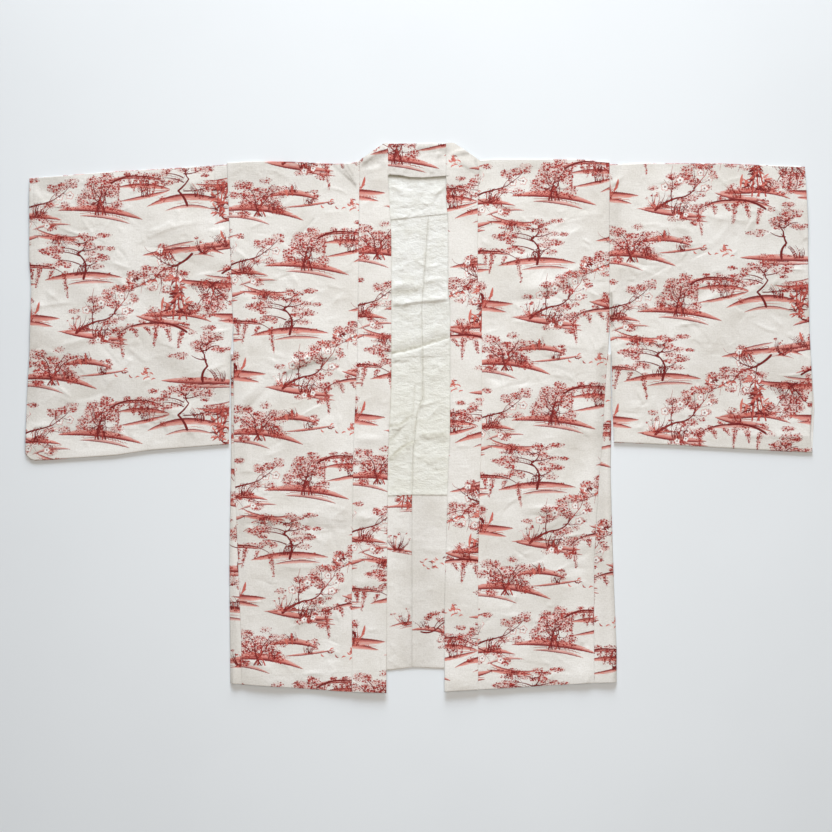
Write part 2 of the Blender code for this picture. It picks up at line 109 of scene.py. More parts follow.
# How the cloth lifts and dips
SEAM_FADE = 14.0        # relief dies out over this length towards a seam
SHOULDER_FADE = 26.0    # and over this length towards a pressed fold
SEAM_DIP = 0.28
LINING_SEAM_DIP = 0.14
HEM_CURL = 3.8
HEM_CURL_REACH = 85.0
CUFF_CURL = 0.9
CUFF_HEM = 0.32
FOLD_LIFT = 1.2         # how far a pressed fold on the outline springs open
LEG_RAMP = 30.0         # the leg climbs onto the neck band over this length

EdgePoint = namedtuple("EdgePoint", "y x")      # on an edge that runs along Y
HemPoint = namedtuple("HemPoint", "x y")        # on an edge that runs along X
Crease = namedtuple("Crease", "x0 y0 x1 y1 half_width rise lean bow")
# A stroke of colour along a line: mostly painted shade, and some real stains
ShadeAndStain = namedtuple("ShadeAndStain", "x0 y0 x1 y1 half_width depth lean", defaults=(0.0,))
Side = namedtuple(
    "Side",
    "name outward side_seam back_side_seam collar_seam collar_edge shoulder collar_top front_hem "
    "back_hem gusset_fold gusset_hem sleeve_edge sleeve_top sleeve_hem cuff_front cuff_back "
    "front_creases sleeve_creases lining_creases",
)


def rows_of(kind):
    """A maker of tables, in which each row of plain numbers is one of a kind."""
    return lambda *rows: tuple(kind(*row) for row in rows)


y_edge, x_edge, crease_rows, shade_and_stain_rows = map(rows_of, (EdgePoint, HemPoint, Crease, ShadeAndStain))

RIGHT_CUFF = y_edge(
    (398, -647.7), (262, -647.7), (212, -644.6), (94, -647.7), (38, -651.6), (-54, -654.1), (-72, -654.1),
)
RIGHT = Side(
    name="right",
    outward=-1,
    side_seam=y_edge(
        (424, -320.2), (150, -309.6), (-54, -308.8), (-186, -304.0), (-369, -296.5), (-442, -295.5),
    ),
    back_side_seam=y_edge((424, -320.2), (150, -309.6), (-442, -295.5)),
    collar_seam=y_edge(
        (427, -100.4), (312, -101.3), (81, -104.6), (-37, -110.2), (-195, -112.9), (-456, -112.9),
    ),
    collar_edge=y_edge((456, -53.1), (396, -53.1), (300, -47.5), (60, -47.5), (-70, -53.3), (-456, -55.9)),
    shoulder=x_edge(
        (-320, 422.8), (-275, 425.6), (-208, 424.6), (-141, 421.0), (-113, 422.0), (-100, 426.4),
    ),
    collar_top=x_edge((-101.0, 426.4), (-59.4, 455.4), (-47.0, 456.0)),
    front_hem=x_edge((-314, -440.4), (-126, -453.7), (-56, -456.0)),
    back_hem=x_edge((-300, -430.0), (-56, -418.8), (-10, -413.8)),
    gusset_fold=y_edge((105, -313.6), (-87, -313.6), (-137, -314.6), (-236, -316.1), (-440, -314.6)),
    gusset_hem=x_edge((-316, -440.4), (-295, -441.5)),
    sleeve_edge=y_edge((424, -320.5), (150, -309.9), (109, -314.3), (14, -316.3), (-44, -316.9)),
    sleeve_top=x_edge((-647.7, 397.1), (-506.6, 408.4), (-403.7, 414.2), (-335.3, 418.7), (-320, 420.0)),
    sleeve_hem=x_edge(
        (-654.6, -56.0), (-652.0, -66.5), (-640.1, -71.9), (-506.6, -63.1), (-449.9, -54.6),
        (-373.5, -48.6), (-318.0, -44.3),
    ),
    cuff_front=RIGHT_CUFF,
    cuff_back=RIGHT_CUFF,
    front_creases=crease_rows(
        (-222, 85, -142, 112, 9, 2.8, -0.4, 3), (-222, 71, -142, 98, 4.5, -2.2, -0.3, 3),
        (-320, 2, -258, 62, 10, 1.3, -0.3, 0), (-314, -13, -250, 50, 5, -1.1, -0.3, 0),
        (-318, -160, -108, -168, 13, 1.6, -0.3, 3), (-316, -178, -108, -186, 5, -1.1, -0.3, 3),
        (-310, 202, -258, 248, 3.6, -1.6, 0.3, 0), (-226, 272, -172, 334, 3.4, -1.5, 0.3, 0),
        (-300, -400, -240, -422, 6, 1.2, 0.3, 3), (-290, -396, -262, -342, 3.5, -0.8, 0.2, 2),
        (-270, -398, -240, -350, 3.5, -0.7, 0.2, 2), (-222, -338, -114, -270, 7, 1.2, -0.4, 4),
        (-222, 190, -228, -20, 26, 0.8, 0.0, 6), (-266, 400, -276, 350, 7, -1.5, 0.4, 2),
        (-216, 388, -250, 352, 6, 0.9, 0.4, 3), (-150, -60, -126, -150, 14, 0.7, 0.3, 4),
        (-282, -262, -208, -238, 10, 0.7, 0.4, -4),
    ),
    sleeve_creases=crease_rows(
        (-465, 291, -352, 326, 4.2, 1.0, 0.3, 7), (-345, 382, -335, 312, 4.5, -1.2, 0.3, 0),
        (-401, 216, -343, 239, 4.2, 0.9, 0.2, -2), (-606, 117, -485, 160, 6, 1.2, -0.3, -4),
        (-505, 186, -480, 155, 4, 0.9, 0.2, 0), (-647, 180, -576, 191, 4.5, 1.2, 0.3, 2),
        (-625, 214, -597, 193, 4, 0.9, 0.2, 0), (-561, 242, -528, 213, 6, -1.0, 0.4, 4),
        (-648, 68, -598, 68, 4, 1.1, 0.2, 0), (-646, 51, -602, 55, 4, 0.9, 0.2, 0),
        (-647, -15, -600, -11, 4, 0.9, 0.2, 0), (-389, -12, -363, -43, 5, 1.3, 0.3, 0),
        (-600, 250, -430, 60, 26, 0.8, 0.3, 10), (-560, 16, -380, 6, 14, 0.7, 0.4, 5),
        (-540, 360, -500, 300, 16, 0.7, 0.3, -6),
    ),
    lining_creases=crease_rows(
        (-54, 217, -2, 221, 7, 1.7, -0.3, 2), (-60, 186, 58, 198, 3.8, 2.2, 0.8, 0),
        (-54, 174, 50, 185, 8, -0.7, 0.0, 0), (-62, 96, -10, 110, 9, 1.5, -0.88, 0),
        (-22, 104, 60, 132, 9, 1.5, -0.88, 0), (-62, 119, -10, 132, 9, 0.9, 0.0, 0),
        (-22, 126, 60, 153, 9, 0.9, 0.0, 0), (-54, -18, -34, -19, 3.4, 1.5, 0.6, 0),
        (-36, -19, -20, -7, 3.4, 1.4, 0.6, 0), (-56, -78, -2, -38, 7, 1.6, -0.8, 2),
        (-10, 44, -13, -34, 3, 0.9, 0.2, 0), (-13, -34, -14, -122, 3, 0.8, 0.2, 0),
        (-46, 214, -6, 208, 9, -0.8, 0.0, 0), (-40, 262, -16, 276, 8, 0.7, 0.4, 0),
        (-46, 60, -18, 76, 7, 0.7, 0.4, 2),
    ),
)
LEFT = Side(
    name="left",
    outward=1,
    side_seam=y_edge(
        (424, 314.4), (150, 314.4), (87, 309.6), (-29, 303.0), (-103, 297.1), (-236, 288.8),
        (-442, 288.8),
    ),
    back_side_seam=y_edge((424, 314.4), (150, 314.4), (-442, 288.8)),
    collar_seam=y_edge(
        (427, 98.9), (361, 95.8), (225, 95.8), (190, 102.6), (-4, 102.9), (-132, 98.9), (-253, 96.3),
        (-456, 96.3),
    ),
    collar_edge=y_edge(
        (456, 43.2), (361, 43.2), (330, 46.5), (212, 46.5), (190, 49.8), (-20, 49.8), (-100, 46.3),
        (-302, 40.7), (-456, 40.7),
    ),
    shoulder=x_edge((99, 426.4), (123, 428.6), (264, 428.6), (314.4, 423.8)),
    collar_top=x_edge((43.0, 456.0), (56.1, 456.0), (78.0, 441.7), (99.5, 426.4)),
    front_hem=x_edge((41.5, -453.7), (284, -439.7), (326, -438.7)),
    back_hem=x_edge((-10, -413.8), (40, -415.5), (300, -430.0)),
    gusset_fold=y_edge(
        (105, 317.0), (0, 317.4), (-87, 316.0), (-186, 318.7), (-286, 322.0), (-385, 326.2),
        (-440, 326.2),
    ),
    gusset_hem=x_edge((288, -439.6), (327, -438.7)),
    sleeve_edge=y_edge((424, 314.5), (150, 314.5), (95, 318.2), (3, 319.4), (-42, 322.0)),
    sleeve_top=x_edge((314.4, 420.0), (373.5, 421.8), (499.2, 421.8), (638.3, 416.2)),
    sleeve_hem=x_edge((322.0, -41.3), (385.1, -44.0), (476.4, -49.0), (647.0, -58.4), (654.6, -57.0)),
    cuff_front=y_edge(
        (418, 638.3), (326, 643.3), (189, 644.1), (112, 647.4), (44, 651.0), (18, 650.6), (-27, 646.0),
        (-55, 650.8), (-60, 650.8),
    ),
    cuff_back=y_edge((418, 638.3), (326, 643.3), (189, 644.1), (112, 647.4), (18, 654.9), (-60, 650.8)),
    front_creases=crease_rows(
        (158, 211, 280, 256, 17, 2.0, -0.3, -12), (152, 194, 284, 238, 5.0, -1.4, -0.3, -12),
        (100, 72, 143, 61, 5, -1.0, 0.3, -3), (166, -151, 278, -157, 7, 1.5, -0.3, 3),
        (132, -327, 194, -333, 5, 1.1, 0.0, 0), (133, -298, 134, -358, 3.5, 0.9, 0.0, 0),
        (184, -376, 252, -387, 7, 0.9, 0.4, 3), (230, 121, 306, 112, 8, 0.9, 0.4, 0),
        (205, 330, 215, 60, 28, 0.8, 0.0, -8), (240, -230, 180, -400, 24, 0.8, 0.2, 6),
        (276, 396, 292, 330, 14, -0.7, 0.4, 3), (130, -40, 190, -20, 9, 0.7, 0.5, -4),
        (250, 20, 296, -30, 9, 0.7, 0.4, 4),
    ),
    sleeve_creases=crease_rows(
        (458, 341, 577, 327, 4.5, 0.8, 0.2, -6), (521, 330, 488, 288, 5, 0.9, 0.0, 0),
        (574, 357, 600, 338, 4.5, 0.8, 0.2, 0), (327, 266, 337, 214, 4, 1.3, 0.2, 1),
        (324, 82, 381, 68, 6, 1.0, 0.5, 3), (534, -30, 648, -31, 5, 1.3, 0.3, 0),
        (625, 122, 631, 56, 5, 0.7, 0.2, 0), (590, 250, 430, 60, 26, 0.8, 0.3, -10),
        (400, 2, 560, -6, 14, 0.7, 0.4, 5), (340, 380, 362, 318, 12, -0.7, 0.3, 4),
        (372, 206, 470, 222, 12, 0.6, 0.5, 6),
    ),
    lining_creases=crease_rows(
        (-6, 222, 50, 232, 6, 1.0, -0.3, 2), (-60, 186, 58, 198, 3.8, 2.2, 0.8, 0),
        (-54, 174, 50, 185, 8, -0.7, 0.0, 0), (-22, 104, 60, 132, 9, 1.5, -0.88, 0),
        (-22, 126, 60, 153, 9, 0.9, 0.0, 0), (-12, -34, 48, -31, 7, 1.0, 0.4, 3),
        (4, -70, 34, -70, 7, 0.8, 0.4, -2), (14, 60, 40, 82, 7, 0.8, 0.4, 2),
        (8, 262, 24, 210, 7, 0.7, 0.3, 2), (-9, -4, -12, -122, 3, 0.6, 0.2, 0),
    ),
)
SIDES = (RIGHT, LEFT)

CENTRE_SEAM = y_edge(
    (427, 13.8), (330, 13.6), (270, 9.5), (182, 2.5), (110, 4.0), (32, 4.6), (6, -5.0), (-60, -11.4),
    (-128, -13.3), (-420, -13.3),
)
NECK_HEM = x_edge((-60, 402.6), (-28, 400.8), (-18, 398.6), (8, 398.0), (48, 401.0))
YOKE_SEAM = x_edge((-62, 326.8), (60, 339.8))
LINING_HEM = x_edge((-62, -130.0), (-12, -127.6), (60, -128.6))
LEG_CREASES = crease_rows(
    (-114, -166, -52, -160, 11, 1.6, -0.3, -2), (-114, -184, -52, -176, 5, -0.9, -0.3, -2),
    (-110, -36, -52, -34, 9, 1.2, -0.2, 0), (-114, -276, -54, -272, 9, 1.2, -0.2, 2),
    (44, -8, 100, -14, 9, 0.9, 0.2, 0), (42, -222, 98, -230, 9, 0.9, 0.2, 2),
)
COLLAR_TOP_CREASES = crease_rows(
    (-100, 417, -58, 446, 5, 1.3, 0.5, 2), (-92, 410, -54, 424, 6, 1.0, -0.5, -3),
    (54, 438, 84, 443, 4, 1.2, -0.5, 2), (60, 424, 100, 400, 6, 1.0, 0.5, 3),
    (-60, 452, -50, 432, 4, 0.8, 0.3, 0),
)
YOKE_CREASES = crease_rows(
    (2, 358, 20, 353, 5, 1.1, 0.5, 0), (20, 353, 40, 382, 4, 1.3, 0.5, 4),
    (-40, 346, -12, 354, 8, 0.8, 0.3, 3), (-44, 388, -18, 372, 6, 0.8, 0.3, -3),
    (-22, 360, -10, 384, 5, 0.6, 0.3, 0),
)
TURN_UP_CREASES = crease_rows(
    (-50, -180, -20, -190, 8, 0.6, 0.4, 2), (-44, -250, -20, -262, 8, 0.7, 0.4, 2),
    (4, -330, 34, -322, 8, 0.8, 0.4, 2), (-2, -214, 36, -222, 7, 0.7, 0.4, -2),
    (-13, -150, -14, -410, 2.4, 0.9, 0.2, 0),
)

# Painted shade in the folds and creases, under edges and hems and over broad areas, with some real soiling
# and two specks, as strokes; one that leans fades out slowly on one side only
PAINTED_SHADE_AND_STAINS = shade_and_stain_rows(
    (-600, 200, -380, 200, 300, 0.055), (-640, 60, -380, 20, 90, 0.11), (-660, 400, -610, 392, 26, 0.22),
    (-647, 378, -645, 0, 19, 0.19), (-420, 90, -335, 40, 40, 0.13), (380, 200, 620, 200, 300, 0.085),
    (318, 410, 322, 310, 20, 0.15), (640, 60, 380, 20, 70, 0.09), (-304, 210, -290, -430, 16, 0.10),
    (-200, -330, 200, -330, 150, 0.05), (-230, -60, -200, -240, 90, 0.07), (0, -150, 0, -400, 44, 0.15),
    (205, 100, 210, -230, 110, 0.085), (303, 112, 299, -30, 11, 0.24), (300, -30, 297, -240, 12, 0.20),
    (304, -240, 306, -430, 13, 0.12), (-311, -264, -309, -405, 9, 0.22), (-312, 104, -311, -20, 4, 0.34),
    (-318, 404, -112, 402, 30, 0.16), (-250, 110, -180, 30, 60, 0.04), (150, 230, 120, 150, 30, 0.06),
    (-144, 421, -126, 404, 3.6, 0.42), (-126, 404, -107, 386, 2.2, 0.75),
    (-132, 421, -118, 403, 2.4, 0.40), (-118, 403, -107, 387, 1.6, 0.65), (-130, 418, -112, 394, 9, 0.30),
    (-112, 392, -107, 384, 4, 0.35), (-122, 421, -111, 402, 2.0, 0.42), (-216, 417, -186, 411, 6, 0.34),
    (-272, 418, -268, 368, 10, 0.13), (-90, 422, -60, 437, 9, 0.50), (-78, 430, -60, 420, 6, 0.35),
    (-50, 452, -50, 402, 3, 0.22), (56, 434, 79, 438, 3, 0.38), (70, 421, 97, 408, 7, 0.30),
    (92, 426, 98, 402, 3, 0.30), (60, 412, 90, 400, 9, 0.10), (-4, 447, 42, 443, 8, 0.40),
    (-30, 436, -16, 438, 6, 0.12), (-36, 412, 32, 412, 15, 0.24), (-36, 442, 32, 440, 15, 0.28),
    (-50, 402.4, -28, 400.2, 2.0, 1.0), (-28, 400.2, -18, 397.6, 1.6, 0.9),
    (-18, 397.6, 8, 397.2, 1.2, 0.8), (8, 397.2, 46, 400.4, 1.2, 0.8), (-276, 412, -216, 404, 14, 0.10),
    (-262, 392, -236, 376, 9, 0.12), (-300, 396, -292, 340, 8, 0.07), (108, 412, 302, 410, 17, 0.11),
    (317, 206, 318.5, 152, 2.8, 0.6), (325, 192, 331, 160, 9, 0.15), (-642, 300, -636, 150, 13, 0.07),
    (-640, 60, -630, -50, 12, 0.08), (-600, 210, -560, 240, 12, 0.07), (-470, 288, -372, 318, 5, 0.07),
    (-339.5, 404, -336, 290, 4, 0.12), (-222, 74, -144, 99, 6.0, 0.36, -0.5),
    (-308, -2, -260, 44, 16, 0.10, 0.9), (-304, -168, -118, -178, 19, 0.10, 0.9),
    (-110, -168, -58, -177, 12, 0.09, 0.9), (-110, -42, -56, -42, 7, 0.10),
    (-112, -282, -58, -279, 7, 0.10), (153, 195, 216, 205, 13, 0.11, 0.9),
    (216, 205, 284, 240, 13, 0.11, 0.9), (-261, 396, -272, 345, 7, 0.12),
    (-304, 204, -262, 244, 2.2, 0.17), (-222, 276, -176, 330, 1.8, 0.15),
    (-462, 291, -356, 322, 2.0, 0.10), (328, 262, 335, 218, 3, 0.10), (-343, 380, -336, 314, 3, 0.14),
    (620, 20, 644, -50, 12, 0.06), (330, 300, 330, 236, 5, 0.06), (-5, 371, 23, 368, 2.4, 0.16),
    (23, 368, 43, 381, 2.4, 0.18), (-28, 310, -18, 306, 4, 0.12), (-12, 296, 5, 295, 4, 0.08),
    (-46, 330, -6, 333, 4, 0.07), (-48, 206.5, -8, 211, 5.4, 0.42), (-8, 214, 10, 224, 4, 0.20),
    (10, 224, 30, 225, 4, 0.13), (-48, 184, -12, 188, 5, 0.20, -0.9), (-12, 188, 46, 195, 4, 0.05, -0.9),
    (-46, 174, 44, 180, 18, 0.12), (-48, 106, -23, 110.5, 4.0, 0.52, 0.85),
    (-23, 110.5, 6, 119, 4.2, 0.46, 0.85), (6, 119, 42, 130.5, 4.6, 0.46, 0.85),
    (-46, 124, 40, 150, 18, 0.07), (12, 151, 30, 149, 8, 0.12), (4.3, 129, 6.6, 30, 2.0, 0.22),
    (6.6, 30, -3, 12, 2.4, 0.24), (-8.6, 54, -11.6, 10, 1.6, 0.24), (-10, 76, 28, 72, 24, 0.07),
    (20, 58, 36, 62, 8, 0.10), (-46, -119, -18, -119, 4.5, 0.12), (-3, 12, -13, -40, 2.2, 0.22),
    (22, 13, 40, 11, 4, 0.15), (-24, 4, -12, 4, 5, 0.16), (24, 2, 33, 2, 4, 0.14),
    (-49, -13.5, -34, -12.5, 3.4, 0.44), (-34, -12.5, -21, -2, 3.4, 0.42), (-49, -36, -36, -22, 4, 0.30),
    (-23, -32, -20, -56, 6, 0.20), (-12, -39, -31, -49, 4.6, 0.46, 0.5),
    (-31, -49, -50, -67, 4.6, 0.46, 0.5), (6, -28, 40, -27, 4.4, 0.36, -0.4), (0, -68, 38, -68, 4, 0.15),
    (-14, 0, -20, -60, 14, 0.05), (30, -36, 40, -42, 4, 0.16), (-614, 84, -613.5, 84, 1.1, 0.8),
    (-26.6, -326, -26.2, -326, 1.0, 0.7), (-10.5, -140, -10.5, -400, 0.9, 0.2),
    (-15.6, -140, -15.4, -400, 0.9, 0.16),
)
# Painted shade along the seams, folds and hems, with some soiling: half width and depth for each kind of edge
SEAM_SHADE_AND_STAINS = dict(
    sleeve_edge=(1.2, 0.09), collar_seam=(1.0, 0.09), collar_edge=(1.4, 0.13), side_seam=(1.0, 0.06),
    gusset_fold=(7.0, 0.24), cuff_front=(4.0, 0.07), shoulder=(2.2, 0.20), front_hem=(15.0, 0.13),
    sleeve_top=(2.0, 0.14), sleeve_hem=(2.4, 0.34), collar_top=(2.0, 0.14), back_hem=(2.0, 0.12),
)

# Heights of the collar leg from its seam to its free edge: on the lining, then over the neck band
LegStep = namedtuple("LegStep", "across resting lowest_neck second_neck middle_neck upper_neck top")
LEG_HEIGHTS = rows_of(LegStep)(
    (0.00, 3.5, 3.5, 3.5, 3.3, 3.0, 2.6),
    (0.25, 3.7, 4.2, 4.2, 3.9, 3.4, 2.9),
    (0.50, 3.9, 6.0, 6.2, 5.2, 3.8, 3.2),
    (0.75, 4.0, 6.2, 6.3, 5.3, 3.9, 3.3),
    (1.00, 4.0, 6.3, 6.4, 5.4, 3.9, 3.3),
)
NECK_HEIGHTS = (4.2, 4.0, 3.0, 1.7, 1.1)    # of the neck band, from its lower edge to the top


# Edges, fades and folds

def shares(steps):
    """Shares from 0 to 1 in even steps."""
    return np.linspace(0.0, 1.0, steps + 1)


def along(edge, place, ease=6.0):
    """Where an edge lies at a place along it: straight between its points, eased at each of them."""
    places, values = zip(*sorted(edge))
    before, at, after = (np.interp(place + step, places, values) for step in (-ease, 0.0, ease))
    return (before + 2.0 * at + after) / 4.0


def blend(first, last, share):
    return first + (last - first) * share


def arch(share):
    """The parabola 4s (1 - s), which is 1 in the middle."""
    return 4.0 * share * (1.0 - share)


def fade(distance, reach):
    """0 on an edge and 1 from its reach inwards, by the cubic 3s^2 - 2s^3."""
    share = np.clip(distance / reach, 0.0, 1.0)
    return share * share * (3.0 - 2.0 * share)


def roll(distance, height, place=0.0, width=1.5):
    """A rounded ridge beside an edge: height exp(-((distance - place) / width)^2)."""
    return height * np.exp(-(((distance - place) / width) ** 2))


def fold_arc(steps):
    """Points round a half circle from the front's layer to the back's: how far beyond, and z."""
    angles = np.linspace(np.pi / 2, -np.pi / 2, steps + 1)[1:-1]
    return FOLD_RADIUS * np.cos(angles), (BACK_MID + FRONT_MID) / 2 + FOLD_RADIUS * np.sin(angles)


def sprung(fold_z, lift):
    """A fold's heights when its upper layer springs open by a lift."""
    return BACK_MID + (fold_z - BACK_MID) * (1.0 + lift / (FRONT_MID - BACK_MID))


def near_line(line, x, y, reach):
    """Which points lie within reach of the box round a line."""
    near = (x > min(line.x0, line.x1) - reach) & (x < max(line.x0, line.x1) + reach)
    return near & (y > min(line.y0, line.y1) - reach) & (y < max(line.y0, line.y1) + reach)


def beside(line, from_x, from_y):
    """For offsets from a line's start: the share along it, how far past its ends, and how far across."""
    run_x, run_y = line.x1 - line.x0, line.y1 - line.y0
    length = np.hypot(run_x, run_y)
    share = (from_x * run_x + from_y * run_y) / length**2
    inside = np.clip(share, 0.0, 1.0)
    return inside, np.abs(share - inside) * length, (from_y * run_x - from_x * run_y) / length


# Relief of the cloth

CREASE_DEPTH = 1.2
TENT = 0.7              # share of a main crease that is a tent with straight flanks
TENT_REACH = 26.0
TENT_TIP = 1.5
RIPPLE_COUNT = 9
RIPPLE_HEIGHT = 0.8
FRONT_RIPPLES, SLEEVE_RIPPLES, LEG_RIPPLES, NECK_RIPPLES = 11, 21, 31, 5     # seeds
Crush = namedtuple("Crush", "seed count longest rise narrow wide")
FRONT_CRUSH = Crush(40, 270, 56, 0.85, 2.2, 5.6)
SLEEVE_CRUSH = Crush(60, 270, 56, 0.9, 2.2, 5.6)
LEG_CRUSH = Crush(70, 60, 40, 0.75, 2.0, 4.6)
NECK_CRUSH = Crush(81, 30, 30, 0.9, 2.0, 4.5)
LINING_CRUSH = Crush(95, 46, 34, 1.1, 1.6, 4.2)
TURN_UP_CRUSH = Crush(75, 46, 34, 0.45, 1.6, 4.2)
YOKE_CRUSH = Crush(91, 40, 30, 0.7, 1.6, 4.2)
NECK_BOX = (-45, 40, 402, 452)
YOKE_BOX = (-50, 44, 330, 396)


def add_creases(height, x, y, creases, tent=0.0):
    """Add a soft ridge or trough along each crease.

    Across the crease the height falls as exp(-(distance / width)^1.6), with the width larger
    on one side by its lean. The share tent of it is exp(-(sqrt(distance^2 + tip^2) - tip) / reach)
    in its place, with straighter flanks. Along the crease the height tapers to both ends as a
    half sine to the power 0.6 and swings a little, and its line bows sideways by 4 bow s (1 - s).
    """
    for number, crease in enumerate(creases):
        reach = 2.6 * crease.half_width * (1.0 + crease.lean) + abs(crease.bow)
        near = near_line(crease, x, y, reach + 3.0 * TENT_REACH * bool(tent))
        if not near.any():
            continue
        share, beyond, across = beside(crease, x[near] - crease.x0, y[near] - crease.y0)
        across -= crease.bow * arch(share)
        width = crease.half_width * (1.0 + crease.lean * np.tanh(across / crease.half_width * 2))
        profile = np.exp(-(np.hypot(across, beyond * 1.4) / width) ** 1.6)
        if tent:
            flank = np.sqrt(across**2 + beyond**2 + TENT_TIP**2) - TENT_TIP
            profile = (1.0 - 0.4 * tent) * profile + tent * np.exp(-flank / TENT_REACH)
        swing = 0.78 + 0.22 * np.sin(share * (5.0 + number % 4) + 1.7 * number)
        taper = np.sin(np.pi * np.clip(share, 0.04, 0.96)) ** 0.6
        height[near] += CREASE_DEPTH * crease.rise * profile * swing * taper


def seam_shade_and_stains():
    """Strokes of painted shade, with some soiling, along the seams, folds and hems."""
    lines = [(getattr(side, name), *SEAM_SHADE_AND_STAINS[name]) for side in SIDES for name in SEAM_SHADE_AND_STAINS]
    lines += [(CENTRE_SEAM[1:], 2.3, 0.24), (YOKE_SEAM, 1.3, 0.13), (LINING_HEM, 1.3, 0.08)]
    return [
        ShadeAndStain(first.x, first.y, last.x, last.y, half_width, depth)
        for edge, half_width, depth in lines for first, last in zip(edge[:-1], edge[1:])
    ]


def shade_and_stain_depth(x, y):
    """How much painted shade and staining each point gets: the strongest of the strokes, depth exp(-(distance
    / width)^2).
    """
    shade_and_wear = np.zeros(x.shape)
    for shade_stroke in (*PAINTED_SHADE_AND_STAINS, *seam_shade_and_stains()):
        near = near_line(shade_stroke, x, y, 2.4 * shade_stroke.half_width * (1.0 + abs(shade_stroke.lean)))
        _, beyond, across = beside(shade_stroke, x[near] - shade_stroke.x0, y[near] - shade_stroke.y0)
        width = shade_stroke.half_width * (1.0 + shade_stroke.lean * np.sign(across))
        shade_and_wear[near] = np.maximum(shade_and_wear[near], roll(np.hypot(across, beyond), shade_stroke.depth, width=width))
    return shade_and_wear


def ripples(x, y, seed):
    """Slow unevenness: a sum of plane waves 70 to 260 mm long in seeded directions."""
    rng = np.random.default_rng(seed)
    total = np.zeros(x.shape)
    for _ in range(RIPPLE_COUNT):
        angle, length, phase = rng.uniform(0, np.pi), rng.uniform(70, 260), rng.uniform(0, 6.28)
        total += np.sin((x * np.cos(angle) + y * np.sin(angle)) * 2 * np.pi / length + phase)
    return RIPPLE_HEIGHT * total / np.sqrt(RIPPLE_COUNT)


def small_creases(box, crush, variant=0):
    """Seeded short creases over a box of x and y, lying more across the cloth than along it."""
    rng = np.random.default_rng(crush.seed + variant)
    low_x, high_x, low_y, high_y = box
    creases = []
    for _ in range(crush.count):
        x, y = rng.uniform(low_x, high_x), rng.uniform(low_y, high_y)
        angle = rng.normal(0.0, 0.75) + (np.pi / 2 if rng.random() < 0.25 else 0.0)
        length = crush.longest * rng.uniform(0.25, 1.0) ** 1.3
        run_x, run_y = length * np.cos(angle), length * np.sin(angle)
        half_width = rng.uniform(crush.narrow, crush.wide)
        height = crush.rise * rng.uniform(0.35, 1.0) * rng.choice([1.0, 1.0, -0.8])
        ends = (x - run_x / 2, y - run_y / 2, x + run_x / 2, y + run_y / 2)
        lean, bow = rng.uniform(-0.6, 0.6), length * rng.uniform(-0.08, 0.08)
        creases.append(Crease(*ends, half_width, height, lean, bow))
    return creases


def box_of(x, y):
    return x.min(), x.max(), y.min(), y.max()


def floored(rise, lowest, slope=0.0):
    """Relief that can't sink into the layer below: past its lowest it goes on only by a small slope."""
    return np.maximum(rise, lowest + slope * rise)


def hem_curl(y):
    """How far a hem lifts off the surface; the hem is the lattice's first row."""
    return HEM_CURL * (1.0 - fade(y - y[0], HEM_CURL_REACH))


# Cloth shells

FINE = 3                # the inner side of a shell has a third of the outer one's rows and columns
RIM_SIDES = (
    ((-1, 0), (0, 0), (0, 1)), ((0, 1), (0, 1), (1, 0)),
    ((1, 0), (1, 1), (0, -1)), ((0, -1), (1, 0), (-1, 0)),
)
SHARPEST_FOLD = 62      # degrees; sharper edges are rolled
Cloth = namedtuple("Cloth", "wall finish slot cutting")


def stacked(x, y, z):
    return np.stack(np.broadcast_arrays(x, y, z), axis=-1).astype(float)


def unrolled(points, past_fold, turn):
    """The cloth's own flat places: those past a fold are turned out beyond it."""
    flat = points[..., :2].copy()
    flat[past_fold] = 2 * turn - flat[past_fold]
    return flat


def surface_normals(points, wrapped):
    """Unit normals of a lattice, from the cross product of its differences both ways."""
    if wrapped:
        padded = np.concatenate([points[-2:-1], points, points[1:2]])
        down = (padded[2:] - padded[:-2]) / 2
    else:
        down = np.gradient(points, axis=0)
    normals = np.cross(np.gradient(points, axis=1), down)
    return normals / np.maximum(np.linalg.norm(normals, axis=-1, keepdims=True), 1e-9)


def shell_faces(outer, inner, kept, wrapped, flipped):
    """Faces of a shell: fine quads outside, coarse quads inside and six-sided faces round the rim."""
    def quads(index, cells):
        corners = [index[:-1, :-1], index[:-1, 1:], index[1:, 1:], index[1:, :-1]]
        return np.stack([corner[cells] for corner in corners], axis=-1)

    fine_cells = np.repeat(np.repeat(kept, FINE, axis=0), FINE, axis=1)
    faces = [quads(outer, fine_cells), quads(inner, kept)[:, ::-1]]
    fenced = np.pad(kept, 1)
    if wrapped:
        fenced[0, 1:-1], fenced[-1, 1:-1] = kept[-1], kept[0]
    for (down, right), (start_row, start_column), (step_row, step_column) in RIM_SIDES:
        neighbour = fenced[1 + down : 1 + down + kept.shape[0], 1 + right : 1 + right + kept.shape[1]]
        rows, columns = np.nonzero(kept & ~neighbour)
        rows, columns = rows + start_row, columns + start_column
        steps = [(rows * FINE + k * step_row, columns * FINE + k * step_column) for k in range(FINE, -1, -1)]
        fine = [outer[step] for step in steps]
        ends = [inner[rows, columns], inner[rows + step_row, columns + step_column]]
        faces.append(np.stack(fine + ends, axis=-1))
    if flipped:
        faces = [group[:, ::-1] for group in faces]
    return faces


def make_mesh(name, vertices, face_groups):
    """A mesh from arrays; points that no face uses are dropped. Returns it and the points kept."""
    used = np.unique(np.concatenate([group.ravel() for group in face_groups]))
    renumber = np.zeros(len(vertices), int)
    renumber[used] = np.arange(len(used))
    faces = [face for group in face_groups for face in renumber[group].tolist()]
    mesh = bpy.data.meshes.new(name)
    mesh.from_pydata((vertices[used] * MM).tolist(), [], faces)
    mesh.shade_smooth()
    return mesh, used


def link(name, data):
    thing = bpy.data.objects.new(name, data)
    bpy.context.scene.collection.objects.link(thing)
    return thing


def set_vectors(mesh, name, values):
    attribute = mesh.attributes.new(name, "FLOAT_VECTOR", "POINT")
    attribute.data.foreach_set("vector", np.ascontiguousarray(values, dtype=np.float32).ravel())


